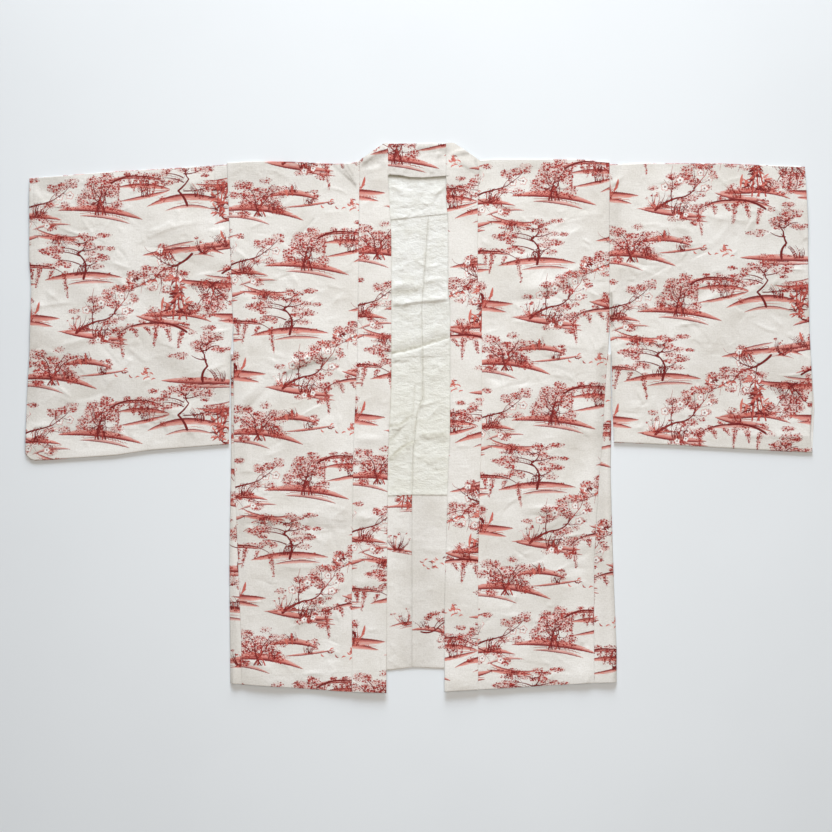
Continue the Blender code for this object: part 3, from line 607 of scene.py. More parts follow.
def add_shell(node, points, cloth, kept=None, wrapped=False, flat=None, name=None):
    """A piece of cloth from the lattice through its middle, in place of a node.

    The outer side is the lattice moved out by half the wall along its normals; the inner side
    is every third row and column moved in by as much. flat holds the cloth's own two
    coordinates at each point, and the cloth's cutting says which part of the print it has.
    """
    rows, columns = points.shape[:2]
    kept = np.ones(((rows - 1) // FINE, (columns - 1) // FINE), bool) if kept is None else kept
    normals = surface_normals(points, wrapped)
    flipped = bool(normals[rows // 4, 1, 2] < 0)
    normals = -normals if flipped else normals
    outside = points + normals * cloth.wall / 2
    inside = (points - normals * cloth.wall / 2)[::FINE, ::FINE]
    outer_rows, inner_rows = rows - wrapped, len(inside) - wrapped
    outer = (np.arange(rows) % outer_rows)[:, None] * columns + np.arange(columns)
    inner = (np.arange(len(inside)) % inner_rows)[:, None] * inside.shape[1] + np.arange(inside.shape[1])
    faces = shell_faces(outer, inner + outer_rows * columns, kept, wrapped, flipped)
    vertices = np.concatenate([outside[:outer_rows].reshape(-1, 3), inside[:inner_rows].reshape(-1, 3)])
    name = name or "cloth_" + node
    mesh, used = make_mesh(name, vertices, faces)

    flat = points[..., :2] if flat is None else flat
    on_outside = np.arange(len(vertices)) < outer_rows * columns
    inner_flat = flat[::FINE, ::FINE][:inner_rows]
    places = np.concatenate([flat[:outer_rows].reshape(-1, 2), inner_flat.reshape(-1, 2)])
    # Painted shade and some soiling, on the outer side only, as the cloth attribute's third number
    shade_and_wear = shade_and_stain_depth(vertices[:, 0], vertices[:, 1]) * on_outside
    set_vectors(mesh, "cloth", np.column_stack([places, shade_and_wear])[used])
    if cloth.cutting:
        for field, values in cloth.cutting.fields(places, on_outside).items():
            set_vectors(mesh, field, values[used])
    mesh.materials.append(cloth.finish)
    piece = link(name, mesh)
    rounded = piece.modifiers.new("rolled edges", "BEVEL")
    rounded.width = cloth.wall * 0.3 * MM
    rounded.segments = 2
    rounded.limit_method = "ANGLE"
    rounded.angle_limit = np.radians(SHARPEST_FOLD)
    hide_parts(node)
    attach(piece, "root")
    return piece


# The print: strokes of one repeat, and where they fall on a piece

Stroke = namedtuple("Stroke", "x0 y0 x1 y1 bow start end lens tone")
Bloom = namedtuple("Bloom", "x y radius turn")
Cloud = namedtuple("Cloud", "x y half_width half_height density tone")
Motif = namedtuple("Motif", "kind x y size turned upright")

REPEAT_X = 360.0
REPEAT_Y = 372.0
NOTHING = -9.0


class Pattern:
    """The strokes, bands, blooms and leaf clouds of one repeat of the print.

    A motif is drawn about one unit wide with its foot at (0, 0), and then put at its size.
    """

    def __init__(self):
        self.lines, self.bands, self.blooms, self.clouds = [], [], [], []

    def line(self, x0, y0, x1, y1, start, end, bow=0.0, tone=1.0, lens=0):
        self.lines.append(Stroke(x0, y0, x1, y1, bow, start, end, lens, tone))

    def band(self, x0, y0, x1, y1, half, bow=0.0, tone=1.0):
        self.bands.append(Stroke(x0, y0, x1, y1, bow, half, 0.0, 1, tone))

    def cloud(self, x, y, half_width, half_height, density=0.95, tone=0.7):
        self.clouds.append(Cloud(x, y, half_width, half_height, density, tone))

    def place(self, motif, seed):
        """Draw a motif with its foot at the motif's place, mirrored or upside down as it says."""
        drawn = Pattern()
        motif.kind(drawn, np.random.default_rng(seed))
        size, turn_x, turn_y = motif.size, motif.turned, motif.upright

        def put(x, y):
            return motif.x + x * size * turn_x, motif.y + y * size * turn_y

        for source, target in ((drawn.lines, self.lines), (drawn.bands, self.bands)):
            for s in source:
                ends = (*put(s.x0, s.y0), *put(s.x1, s.y1))
                widths = (s.bow * size * turn_x * turn_y, s.start * size, s.end * size)
                target.append(Stroke(*ends, *widths, s.lens, s.tone))
        for bloom in drawn.blooms:
            self.blooms.append(Bloom(*put(bloom.x, bloom.y), bloom.radius * size, bloom.turn))
        for cloud in drawn.clouds:
            reach = (cloud.half_width * size, cloud.half_height * size)
            self.clouds.append(Cloud(*put(cloud.x, cloud.y), *reach, cloud.density, cloud.tone))

    def bough(self, rng, x, y, angle, length, width, depth, ends):
        """A limb that bends, tapers and sends out shoots; the tips are collected in ends."""
        x1, y1 = x + length * np.cos(angle), y + length * np.sin(angle)
        bow = length * rng.uniform(-0.16, 0.16)
        self.line(x, y, x1, y1, width, width * 0.62, bow, rng.uniform(0.6, 1.0))
        if depth == 0:
            ends.append((x1, y1))
            return
        ahead = angle + rng.uniform(-0.4, 0.4)
        self.bough(rng, x1, y1, ahead, length * 0.8, width * 0.62, depth - 1, ends)
        side = rng.choice([-1.0, 1.0])
        for way in (side, -side):
            share = rng.uniform(0.35, 0.95)
            foot = blend(x, x1, share), blend(y, y1, share)
            spread = angle + way * rng.uniform(0.55, 1.1)
            self.bough(rng, *foot, spread, length * 0.58, width * 0.45, depth - 1, ends)

    def foliage(self, rng, x, y, reach, count, flatness=0.62):
        """Overlapping leaf clouds scattered round a place."""
        for _ in range(count):
            half = reach * rng.uniform(0.40, 0.76)
            spot = (x + rng.normal(0, 0.5) * reach, y + rng.normal(0, 0.3) * reach)
            half_height = half * flatness * rng.uniform(0.7, 1.2)
            self.cloud(*spot, half, half_height, rng.uniform(0.75, 1.15), rng.uniform(0.2, 1.0))

    def reeds(self, rng, x, y):
        """A close row of short fine strokes that lean together."""
        lean = rng.choice([-1.0, 1.0])
        for reed in range(8):
            foot = x + (reed - 4) * 0.018 + rng.uniform(-0.005, 0.005)
            length, tip = rng.uniform(0.09, 0.2), foot + lean * rng.uniform(0.02, 0.1) + (reed - 4) * 0.012
            self.line(foot, y, tip, y + length, 0.006, 0.002, 0.02 * lean, rng.uniform(0.5, 1.1))

    def mound(self, rng, x0, x1, half, growth=3):
        """A bowed brush band with low growth along it and a thinner band below."""
        bow, tilt = rng.uniform(-0.03, 0.12), rng.uniform(-0.07, 0.07)

        def crest(share):
            return tilt * (2 * share - 1) + bow * arch(share)

        self.band(x0, -tilt, x1, tilt, half, bow)
        shift = rng.uniform(-0.22, 0.3)
        self.band(x0 * 0.6 + shift, -0.075 - tilt, x1 * 0.6 + shift, tilt - 0.06, half * 0.5, bow * 0.5, 0.8)
        for _ in range(growth):
            share = rng.uniform(0.12, 0.88)
            self.foliage(rng, blend(x0, x1, share), crest(share) + 0.025, 0.075, 2, 0.42)
        share = rng.uniform(0.2, 0.8)
        self.reeds(rng, blend(x0, x1, share), crest(share))


def plum(pattern, rng):
    """A gnarled flowering branch in leaf over a bank."""
    tips = []
    pattern.bough(rng, -0.42, 0.03, rng.uniform(0.25, 0.6), 0.31, 0.017, 3, tips)
    for x, y in tips[::2]:
        pattern.foliage(rng, x, y, 0.13, 2)
    for x, y in tips[1::3]:
        x += rng.uniform(-0.03, 0.03)
        pattern.blooms.append(Bloom(x, y, rng.uniform(0.04, 0.055), rng.uniform(0, 6.28)))
    pattern.mound(rng, -0.62, 0.2, 0.036, 2)


def bamboo(pattern, rng):
    """Leaning canes with sprays of pointed leaves."""
    lean = rng.uniform(-0.25, 0.25)
    for cane in range(3):
        x, y = cane * 0.12 - 0.12, 0.01
        angle = np.pi / 2 + lean + (cane - 1) * 0.17
        for joint in range(3):
            length = (0.20 + 0.03 * joint) * (1.0 - 0.16 * cane)
            x1, y1 = x + length * np.cos(angle), y + length * np.sin(angle)
            pattern.line(x, y, x1, y1, 0.015, 0.012, 0.0, 0.6)
            side = 1 if (joint + cane) % 2 else -1
            for leaf in range(4):
                way = np.pi / 2 - side * (1.0 + 0.45 * leaf) + rng.uniform(-0.15, 0.15)
                reach = rng.uniform(0.15, 0.23)
                foot = (x1 + 0.035 * np.cos(way), y1 + 0.035 * np.sin(way))
                tip = (x1 + reach * np.cos(way), y1 + reach * np.sin(way))
                bow = reach * rng.uniform(-0.12, 0.12)
                pattern.line(*foot, *tip, 0.013, 0.0, bow, rng.uniform(0.2, 1.1), 1)
            x, y = x1 + 0.004, y1 + 0.008
    pattern.foliage(rng, 0.2, 0.1, 0.12, 4)
    pattern.mound(rng, -0.5, 0.56, 0.038)


def pine(pattern, rng):
    """A bent trunk under flat cushions of needles."""
    x, y, width = -0.05, 0.0, 0.019
    for level in (0.2, 0.36, 0.5):
        x1 = rng.uniform(-0.12, 0.12)
        pattern.line(x, y, x1, level, width, width * 0.7, rng.uniform(-0.04, 0.04), 0.9)
        x, y, width = x1, level, width * 0.7
    for level, reach in ((0.27, 0.32), (0.37, 0.28), (0.47, 0.22), (0.56, 0.1)):
        for side in (-1, 1):
            if rng.random() < 0.2:
                continue
            x, y = side * reach * rng.uniform(0.7, 1.25), level + rng.uniform(-0.03, 0.03)
            pattern.line(0.0, y - 0.07, x, y - 0.01, 0.009, 0.004, 0.02, 0.9)
            pattern.foliage(rng, x, y + 0.01, 0.17, 5, 0.45)
    pattern.mound(rng, -0.6, 0.5, 0.046, 4)


def mist(pattern, rng):
    """Stacked brush bands that taper to both ends, with standing leaves on the uppermost."""
    for band in range(2):
        half = rng.uniform(0.35, 0.6) * (1.0 - 0.2 * band)
        x, y, tilt = rng.uniform(-0.2, 0.2), -0.11 * band, rng.uniform(-0.1, 0.1)
        thick, bow = rng.uniform(0.03, 0.058) * (1.0 - 0.25 * band), rng.uniform(-0.06, 0.12)
        pattern.band(x - half, y - tilt, x + half, y + tilt, thick, bow)
        pattern.reeds(rng, x, y + bow)
    foot = rng.uniform(-0.25, 0.25)
    for leaf in range(rng.integers(0, 5)):
        x = foot + leaf * rng.uniform(0.05, 0.09)
        top = rng.uniform(0.1, 0.3)
        pattern.line(x, 0.03, x + rng.uniform(-0.07, 0.07), top, 0.02, 0.0, 0.01, rng.uniform(0.2, 1.0), 1)
    pattern.foliage(rng, -foot, 0.05, 0.15, 5, 0.5)


def grass(pattern, rng):
    """A fan of arching blades with seed heads."""
    for blade in range(11):
        angle = np.pi / 2 + (blade - 5) * 0.24 + rng.uniform(-0.08, 0.08)
        length, x0 = rng.uniform(0.24, 0.5), (blade - 5) * 0.018
        end = (x0 + length * np.cos(angle), length * np.sin(angle))
        bow = length * 0.14 * np.sign(blade - 4.9)
        pattern.line(x0, 0.0, *end, 0.013, 0.003, bow, rng.uniform(0.4, 1.0))
        if blade % 2:
            pattern.foliage(rng, *end, 0.08, 2)
    pattern.mound(rng, -0.5, 0.44, 0.034, 1)


def wisteria(pattern, rng):
    """Hanging flower clusters under a drooping spray of leaves."""
    pattern.line(-0.5, 0.34, 0.0, 0.46, 0.018, 0.011, 0.05)
    pattern.line(0.0, 0.46, 0.48, 0.3, 0.011, 0.004, 0.05, 0.9)
    pattern.band(-0.6, 0.36, 0.3, 0.4, 0.032, 0.07, 0.9)
    for cluster in range(6):
        x = (cluster - 2.5) * 0.16 + rng.uniform(-0.05, 0.05)
        y, drop, sway = 0.43 - abs(x) * 0.2, rng.uniform(0.1, 0.4), rng.uniform(-0.08, 0.08)
        pattern.foliage(rng, x, y + 0.05, 0.12, 2)
        pattern.line(x, y, x + sway, y - drop, 0.006, 0.003, 0.01, 0.7)
        for bead in range(4):
            share = (bead + 0.5) / 4
            half = 0.06 * (1.0 - 0.6 * share)
            place = (x + sway * share, y - drop * share)
            pattern.cloud(*place, half, drop * 0.2, 1.1 - 0.3 * share, 0.9 - 0.5 * share)


def maple(pattern, rng):
    """Several slim stems that fan out under rounded masses of leaves."""
    tips = []
    for stem in range(4):
        angle = np.pi / 2 + (stem - 1.5) * 0.45 + rng.uniform(-0.15, 0.15)
        pattern.bough(rng, (stem - 1.5) * 0.05, 0.0, angle, 0.26, 0.011, 1, tips)
    for x, y in tips:
        pattern.foliage(rng, x, y, 0.16, 3, 0.7)
    pattern.mound(rng, -0.6, 0.6, 0.05, 4)


def drift(pattern, rng):
    """Small leaves adrift, as loose arcs."""
    for _ in range(16):
        x, y = rng.uniform(-0.45, 0.45), rng.uniform(-0.16, 0.16)
        angle = rng.choice([-0.5, 0.4, 2.5]) + rng.uniform(-0.3, 0.3)
        end = (x + 0.13 * np.cos(angle), y + 0.13 * np.sin(angle))
        pattern.line(x, y, *end, 0.018, 0.0, 0.03, rng.uniform(0.1, 0.9), 1)


LAYOUT = rows_of(Motif)(
    (maple, 52, 14, 122, 1, 1), (mist, 120, 44, 92, 1, 1), (drift, 186, 30, 64, 1, 1),
    (wisteria, 214, 62, 118, -1, 1), (pine, 306, 20, 126, 1, 1), (plum, 148, 96, 138, 1, 1),
    (grass, 92, 104, 66, 1, 1), (mist, 14, 128, 112, -1, 1), (bamboo, 262, 122, 96, 1, 1),
    (maple, 318, 186, 112, -1, -1), (mist, 228, 134, 104, 1, 1), (pine, 96, 190, 118, -1, 1),
    (wisteria, 24, 164, 104, 1, 1), (drift, 190, 184, 70, 1, 1), (plum, 226, 236, 134, -1, -1),
    (maple, 130, 296, 118, 1, 1), (grass, 300, 232, 72, -1, 1), (mist, 344, 252, 100, 1, 1),
    (plum, 40, 284, 132, 1, 1), (mist, 70, 258, 92, -1, -1), (pine, 268, 312, 122, -1, 1),
    (wisteria, 196, 316, 96, 1, 1), (drift, 340, 306, 66, 1, 1), (bamboo, 334, 352, 84, -1, -1),
    (mist, 206, 340, 108, -1, 1),
)

# The turned-up hem is cut where the print is thin
HEM_LAYOUT = rows_of(Motif)(
    (bamboo, 40, 268, 84, 1, 1), (grass, 22, 200, 70, 1, 1), (drift, 130, 176, 60, 1, 1),
    (grass, 36, 76, 62, -1, 1), (plum, 142, 62, 96, 1, 1), (drift, 250, 120, 60, 1, 1),
)


PRINT_SEEDS = {LAYOUT: 300, HEM_LAYOUT: 500}


def draw_pattern(layout):
    pattern = Pattern()
    for seed, motif in enumerate(layout, PRINT_SEEDS[layout]):
        pattern.place(motif, seed)
    return pattern


class Cutting:
    """A piece of printed cloth: the print's pattern with its corner moved to x and y."""

    def __init__(self, pattern, x, y, spacing):
        self.pattern, self.x, self.y, self.spacing = pattern, x, y, spacing

    def near(self, centre_x, centre_y, reach_x, reach_y):
        """The points within reach of a place in any repeat, and their offsets from it."""
        found, off_x, off_y = [], [], []
        for lift in (-REPEAT_Y, 0.0, REPEAT_Y):
            middle = centre_y + lift
            low, high = np.searchsorted(self.sorted_y, [middle - reach_y, middle + reach_y])
            if low == high:
                continue
            rows = self.order[low:high]
            dx = (self.u[rows] - centre_x + REPEAT_X / 2) % REPEAT_X - REPEAT_X / 2
            inside = np.abs(dx) < reach_x
            found.append(rows[inside])
            off_x.append(dx[inside])
            off_y.append(self.v[rows][inside] - middle)
        if not found:
            return np.empty(0, int), np.empty(0), np.empty(0)
        return np.concatenate(found), np.concatenate(off_x), np.concatenate(off_y)

    def strokes(self, strokes, count):
        """For each point the nearest stroke's signed distance, its half width there and its tone.

        The distance is signed, so that it runs evenly through the middle of the stroke and a
        line finer than the mesh stays sharp. Past the stroke's reach the half width falls away.
        """
        best = np.full(count, -1e3)
        result = np.zeros((count, 3))
        result[:, 1] = NOTHING
        for s in strokes:
            half_x, half_y = (s.x1 - s.x0) / 2, (s.y1 - s.y0) / 2
            reach = max(s.start, s.end) + abs(s.bow) + 4.0 * self.spacing
            rows, dx, dy = self.near(s.x0 + half_x, s.y0 + half_y, abs(half_x) + reach, abs(half_y) + reach)
            if not len(rows):
                continue
            share, beyond, across = beside(s, dx + half_x, dy + half_y)
            across -= s.bow * arch(share)
            half = s.start * arch(share) ** 0.75 if s.lens else blend(s.start, s.end, share)
            half = half - beyond
            cover = half - np.abs(across)
            better = cover > best[rows]
            past = np.maximum(-cover - 1.6 * self.spacing, 0.0)
            rows = rows[better]
            best[rows] = cover[better]
            result[rows, 0] = across[better]
            result[rows, 1] = (half - 3.0 * past)[better]
            result[rows, 2] = s.tone
        return result

    def fields(self, cloth, outside):
        """The print's attributes at the cloth's points; the inner side of the cloth has none."""
        self.u = np.where(outside, cloth[:, 0] - self.x, 0.0) % REPEAT_X
        self.v = np.where(outside, cloth[:, 1] - self.y, 0.0) % REPEAT_Y
        self.order = np.argsort(self.v)
        self.sorted_y = self.v[self.order]
        count = len(cloth)
        lines, bands = (self.strokes(strokes, count) for strokes in (self.pattern.lines, self.pattern.bands))
        blooms = np.zeros((count, 3))
        blooms[:, 2] = NOTHING
        for bloom in self.pattern.blooms:
            reach = bloom.radius + 2.4 * self.spacing
            rows, dx, dy = self.near(bloom.x, bloom.y, reach, reach)
            sine, cosine = np.sin(bloom.turn), np.cos(bloom.turn)
            blooms[rows, 0] = (dx * cosine + dy * sine) / bloom.radius
            blooms[rows, 1] = (dy * cosine - dx * sine) / bloom.radius
            blooms[rows, 2] = 1.0
        leaves = np.zeros((count, 3))
        for cloud in self.pattern.clouds:
            rows, dx, dy = self.near(cloud.x, cloud.y, cloud.half_width * 1.2, cloud.half_height * 1.2)
            far = (dx / cloud.half_width) ** 2 + (dy / cloud.half_height) ** 2
            density = cloud.density * np.clip(1.25 - far, 0.0, 1.0) ** 0.7
            better = density > leaves[rows, 0]
            rows = rows[better]
            leaves[rows, 0] = density[better]
            leaves[rows, 1] = cloud.tone
            leaves[rows, 2] = (dy / cloud.half_height)[better]
        fields = dict(line=lines, band=bands, bloom=blooms, leaf=leaves)
        empty = dict(line=(0, NOTHING, 0), band=(0, NOTHING, 0), bloom=(0, 0, NOTHING), leaf=0)
        for name, field in fields.items():
            field[~outside] = empty[name]
        return fields


# Materials

# Colours of the painted shade and soiling on the print and on the lining
PRINT_SHADE_AND_SOIL = (0.31, 0.275, 0.235, 1.0)
LINING_SHADE_AND_SOIL = (0.42, 0.37, 0.245, 1.0)
MOTTLE = (0.89, 0.88, 0.865, 1.0)
WEAVE_RELIEF = 0.00024      # metres; height of the printed cloth's bump
LINING_RELIEF = 0.00030
FLOOR_RELIEF = 0.00005


def arithmetic(operation, reflected=False):
    """A method that adds a Math node, with its two values swapped in a reflected operator."""
    def method(self, *others):
        values = (*others, self) if reflected else (self, *others)
        return self.tree.node("ShaderNodeMath", dict(operation=operation), dict(enumerate(values)))

    return method


class Value:
    """The output of a node. Arithmetic on it adds Math nodes."""

    __add__ = __radd__ = arithmetic("ADD")
    __sub__, __rsub__ = arithmetic("SUBTRACT"), arithmetic("SUBTRACT", reflected=True)
    __mul__ = __rmul__ = arithmetic("MULTIPLY")
    __truediv__, __rtruediv__ = arithmetic("DIVIDE"), arithmetic("DIVIDE", reflected=True)
    __pow__, __rpow__ = arithmetic("POWER"), arithmetic("POWER", reflected=True)
    __abs__ = arithmetic("ABSOLUTE")
    highest, cosine, angle_from = map(arithmetic, ("MAXIMUM", "COSINE", "ARCTAN2"))

    def __init__(self, tree, socket):
        self.tree, self.socket = tree, socket

    def step(self, low, high):
        """0 below low, 1 above high, smooth between."""
        settings = dict(interpolation_type="SMOOTHSTEP")
        return self.tree.node("ShaderNodeMapRange", settings, {0: self, 1: low, 2: high, 3: 0.0, 4: 1.0})

    def parts(self):
        """The three numbers of a vector."""
        split = self.tree.node("ShaderNodeSeparateXYZ", {}, {0: self})
        return tuple(Value(self.tree, out) for out in split.socket.node.outputs)


class Tree:
    """A material's nodes."""

    def __init__(self, name, sockets):
        self.material = bpy.data.materials.new(name)
        self.material.use_nodes = True
        self.nodes = self.material.node_tree.nodes
        self.links = self.material.node_tree.links
        self.shader = self.nodes["Principled BSDF"]
        for socket, value in sockets.items():
            self.shader.inputs[socket].default_value = value

    def node(self, kind, settings=None, inputs=None, output=0):
        """A node of a kind, with its settings, then the values or links of its sockets."""
        node = self.nodes.new(kind)
        for setting, value in (settings or {}).items():
            setattr(node, setting, value)
        for key, value in (inputs or {}).items():
            self.feed(node.inputs[key], value)
        return Value(self, node.outputs[output])

    def feed(self, socket, value):
        if isinstance(value, Value):
            self.links.new(value.socket, socket)
        else:
            socket.default_value = value

    def attribute(self, name):
        """The three numbers of an attribute."""
        return self.node("ShaderNodeAttribute", dict(attribute_name=name), output=1).parts()

    def vector(self, x, y):
        return self.node("ShaderNodeCombineXYZ", {}, {0: x, 1: y})

    def noise(self, vector, scale, detail=2.0, roughness=0.5):
        values = {"Vector": vector, "Scale": scale, "Detail": detail, "Roughness": roughness}
        return self.node("ShaderNodeTexNoise", {}, values)

    def cells(self, vector, scale):
        """Distance to the nearest of scattered points, and that point's own random number."""
        values = {"Vector": vector, "Scale": scale, "Randomness": 1.0}
        near = self.node("ShaderNodeTexVoronoi", dict(voronoi_dimensions="2D"), values)
        colour = Value(self, near.socket.node.outputs[1])
        return near, colour.parts()[0]

    def mix(self, share, first, second, blend_type="MIX"):
        values = {0: share, 6: first, 7: second}
        return self.node("ShaderNodeMix", dict(data_type="RGBA", blend_type=blend_type), values, output=2)

    def shade_and_soil(self, colour, flat, shade_and_wear, shade_soil_colour):
        """Painted shade in folds, creases and along edges, with some soiling: darker where marked, unevenly.
        """
        uneven = self.noise(flat, 0.16, 4.0, 0.65) * 1.4 + 0.3
        return self.mix(shade_and_wear * uneven, colour, shade_soil_colour, "MULTIPLY")

    def finish(self, colour, height, distance, strength=0.9):
        """Colour and bump into the shader; returns the material."""
        bump = self.node("ShaderNodeBump", {}, {"Strength": strength, "Distance": distance, "Height": height})
        self.feed(self.shader.inputs["Base Color"], colour)
        self.feed(self.shader.inputs["Normal"], bump)
        return self.material


def weave(tree, x, y, pitch):
    """A plain weave with uneven threads: two crossed rows of rounded threads and long slubs."""
    threads = (x * (2 * np.pi / pitch)).cosine() + (y * (2 * np.pi / pitch)).cosine()
    slub_across = tree.noise(tree.vector(x * 0.035, y * 1.1), 1.0)
    slub_along = tree.noise(tree.vector(x * 1.1, y * 0.03), 1.0)
    return threads * 0.06 + slub_across * 0.9 + slub_along * 0.7


class Print:
    """The print's inks and the unevenness that its four kinds of mark share."""

    def __init__(self, tree, x, y, flat, ground, pale, ink, dark):
        self.tree, self.x, self.y, self.flat = tree, x, y, flat
        self.ground, self.pale, self.ink, self.dark = ground, pale, ink, dark
        self.wobble = tree.noise(flat, 0.55, 3.0, 0.6) - 0.5
        self.bristle = tree.noise(tree.vector(x * 0.05, y * 0.75), 1.0, 3.0, 0.65)
        self.grain = tree.noise(flat, 1.1)

    def bands(self, colour):
        """Brush bands: streaky above, full and dark towards their lower edge."""
        mix, wobble = self.tree.mix, self.wobble
        along, half, tone = self.tree.attribute("band")
        cover = half + wobble * 2.4 - abs(along)
        lower = (along / half.highest(0.6)).step(0.7, -0.9)
        streak = (self.bristle - 0.33 + lower * 0.45).step(-0.06, 0.26)
        band = cover.step(-0.3, 0.5) * (streak * 0.82 + 0.10) * tone
        depth = (lower * 0.95 + wobble * 1.2).step(0.2, 0.8)
        colour = mix(band * 0.96, colour, mix(depth, self.pale, self.ink))
        rim = (lower * 0.8 + self.bristle * 0.6).step(0.78, 1.05) * cover.step(0.0, 0.8) * tone
        edge = (0.9 - abs(cover - 0.8)).step(0.0, 0.7) * (lower + wobble).step(0.35, 0.75)
        return mix(rim.highest(edge) * 0.85, colour, self.dark)

    def leaves(self, colour):
        """Leaf clouds: a thin wash under dabs of ink with dark cores, and finer specks."""
        tree, mix, wobble = self.tree, self.tree.mix, self.wobble
        density, tone, rise = tree.attribute("leaf")
        ragged = density * (tree.noise(self.flat, 0.10, 3.0, 0.6) * 1.5 + 0.2)
        wash = (ragged + wobble * 0.9).step(0.33, 0.9) * (0.22 + tone * 0.10)
        colour = mix(wash, colour, self.pale)
        place = tree.vector(self.x * 0.85 + wobble * 2.0, self.y * 1.1 + wobble * 1.2)
        near, random = tree.cells(place, 0.25)
        leafy = density.step(0.02, 0.2)
        dab = (ragged * 0.43 + random * leafy * 0.27 - 0.15 - near).step(0.0, 0.07)
        depth = (random * 0.8 + tone * 0.4 - rise * 0.25 - near * 1.1).step(-0.12, 0.6)
        colour = mix(dab * (0.65 + 0.35 * random), colour, mix(depth, self.pale, self.ink))
        core = (0.23 - near).step(0.0, 0.08) * (random + tone * 0.5 - rise * 0.2).step(0.4, 0.75)
        colour = mix(core * dab * 0.9, colour, self.dark)
        near, random = tree.cells(self.flat, 0.50)
        speck = (ragged * 0.50 + random * leafy * 0.18 - 0.17 - near).step(0.0, 0.07)
        return mix(speck * (random * 0.4 + 0.6), colour, mix(random.step(0.4, 0.8), self.ink, self.dark))

    def blooms(self, colour):
        """Pale blooms of five petals with an inked rim and a dark heart."""
        mix = self.tree.mix
        p, q, mask = self.tree.attribute("bloom")
        radius = (p * p + q * q) ** 0.5
        petal = abs((q.angle_from(p) * 2.5).cosine()) * 0.30 + 0.70
        inside = (petal - radius).step(-0.03, 0.08) * mask.step(0.4, 0.7)
        rimmed = (petal - radius).step(0.34, 0.02)
        fill = mix(rimmed * 0.75, self.ground, self.pale)
        fill = mix((rimmed * self.grain.step(0.35, 0.6)).step(0.55, 0.95) * 0.85, fill, self.ink)
        fill = mix(radius.step(0.30, 0.16) * 0.8, fill, self.dark)
        return mix(inside, colour, fill)

    def strokes(self, colour):
        """Drawn strokes, darker where their tone is high and thin where the brush ran dry."""
        mix = self.tree.mix
        across, half, tone = self.tree.attribute("line")
        line = (half + self.wobble * 0.9 - abs(across)).step(-0.22, 0.28)
        ink = mix((tone + self.wobble).step(0.45, 0.85), self.ink, self.dark)
        ink = mix((self.bristle + 0.40 - tone * 0.9).step(0.2, 0.6) * 0.8, ink, self.pale)
        return mix(line * (self.grain.step(0.12, 0.4) * 0.2 + 0.8), colour, ink)


def printed_finish(ground, shade, pale, ink, dark):
    """Cloth in its ground colour, with the print in three depths of one ink."""
    tree = Tree("printed_cloth", {
        "Roughness": 0.86, "Sheen Weight": 0.12, "Sheen Roughness": 0.5, "Specular IOR Level": 0.25,
    })
    x, y, shade_and_wear = tree.attribute("cloth")
    flat = tree.vector(x, y)
    blotches = tree.noise(tree.vector(x * 0.011, y * 0.013), 1.0, 4.0, 0.6)
    colour = tree.mix(blotches.step(0.36, 0.72), ground, shade)
    fibre = tree.noise(tree.vector(x * 0.07, y * 0.8), 1.0, 3.0, 0.7)
    colour = tree.mix(fibre.step(0.4, 0.75) * 0.5, colour, shade)
    colour = tree.mix(tree.noise(flat, 0.38, 3.0, 0.8).step(0.36, 0.68), colour, MOTTLE, "MULTIPLY")
    marks = Print(tree, x, y, flat, ground, pale, ink, dark)
    for mark in (marks.bands, marks.leaves, marks.blooms, marks.strokes):
        colour = mark(colour)
    # Painted shade and soiling from the cloth attribute
    colour = tree.shade_and_soil(colour, flat, shade_and_wear, PRINT_SHADE_AND_SOIL)
    height = weave(tree, x, y, 0.9) + tree.noise(flat, 0.13, 4.0, 0.68) * 2.6
    return tree.finish(colour, height, WEAVE_RELIEF)


def lining_finish(ground, shade, aged):
    """Plain off-white lining: close weave, soft lustre and a crushed surface, yellowed lower down."""
    tree = Tree("plain_lining", {
        "Roughness": 0.62, "Sheen Weight": 0.2, "Sheen Roughness": 0.4, "Specular IOR Level": 0.35,
    })
    x, y, shade_and_wear = tree.attribute("cloth")
    flat = tree.vector(x, y)
    crush = tree.noise(tree.vector(x * 0.05, y * 0.08), 1.0, 5.0, 0.7)
    blotches = tree.noise(flat, 0.03, 5.0, 0.7)
    # Painted shade in patches that follow the crushed relief, and a finer mottle in the same colour
    colour = tree.mix((blotches * 0.6 + crush * 0.4).step(0.40, 0.64), ground, shade)
    colour = tree.mix(tree.noise(flat, 0.5, 3.0, 0.7).step(0.42, 0.7) * 0.5, colour, shade)
    colour = tree.mix((y + blotches * 160.0).step(290.0, 90.0) * 0.42, colour, aged)
    # Painted shade and soiling from the cloth attribute
    colour = tree.shade_and_soil(colour, flat, shade_and_wear, LINING_SHADE_AND_SOIL)
    height = crush * 8.5 + tree.noise(flat, 0.22, 4.0, 0.7) * 2.0 + weave(tree, x, y, 0.8) * 0.8
    return tree.finish(colour, height, LINING_RELIEF)


def floor_finish(colour):
    """A matt painted board with a faint mottle."""
    tree = Tree("pale_floor", {"Roughness": 0.75})
    place = tree.node("ShaderNodeTexCoord", output=3)
    darker = (*(0.985 * np.array(colour[:3])), 1.0)
    tone = tree.mix(tree.noise(place, 3.0, 4.0).step(0.4, 0.65), colour, darker)
    return tree.finish(tone, tree.noise(place, 260.0), FLOOR_RELIEF, strength=0.4)


# The pieces

BODY_ACROSS = 120
BODY_BEHIND = 9
FRONT_STEPS = 510
FOLD_STEPS = 12
BACK_STEPS = 78
SLEEVE_ALONG = 198
SLEEVE_DOWN = 276
SLEEVE_TURN = 9
SLEEVE_BACK = 36
GUSSET_DOWN = 300
GUSSET_FRONT = 12
GUSSET_TURN = 6
GUSSET_BACK = 6
LEG_ACROSS = 30
LEG_STEPS = 510
NECK_ACROSS = 84
NECK_STEPS = 33
YOKE_ACROSS = 69
YOKE_STEPS = 51
INNER_ACROSS = 36
LINING_STEPS = 261
TURN_UP_STEPS = 165


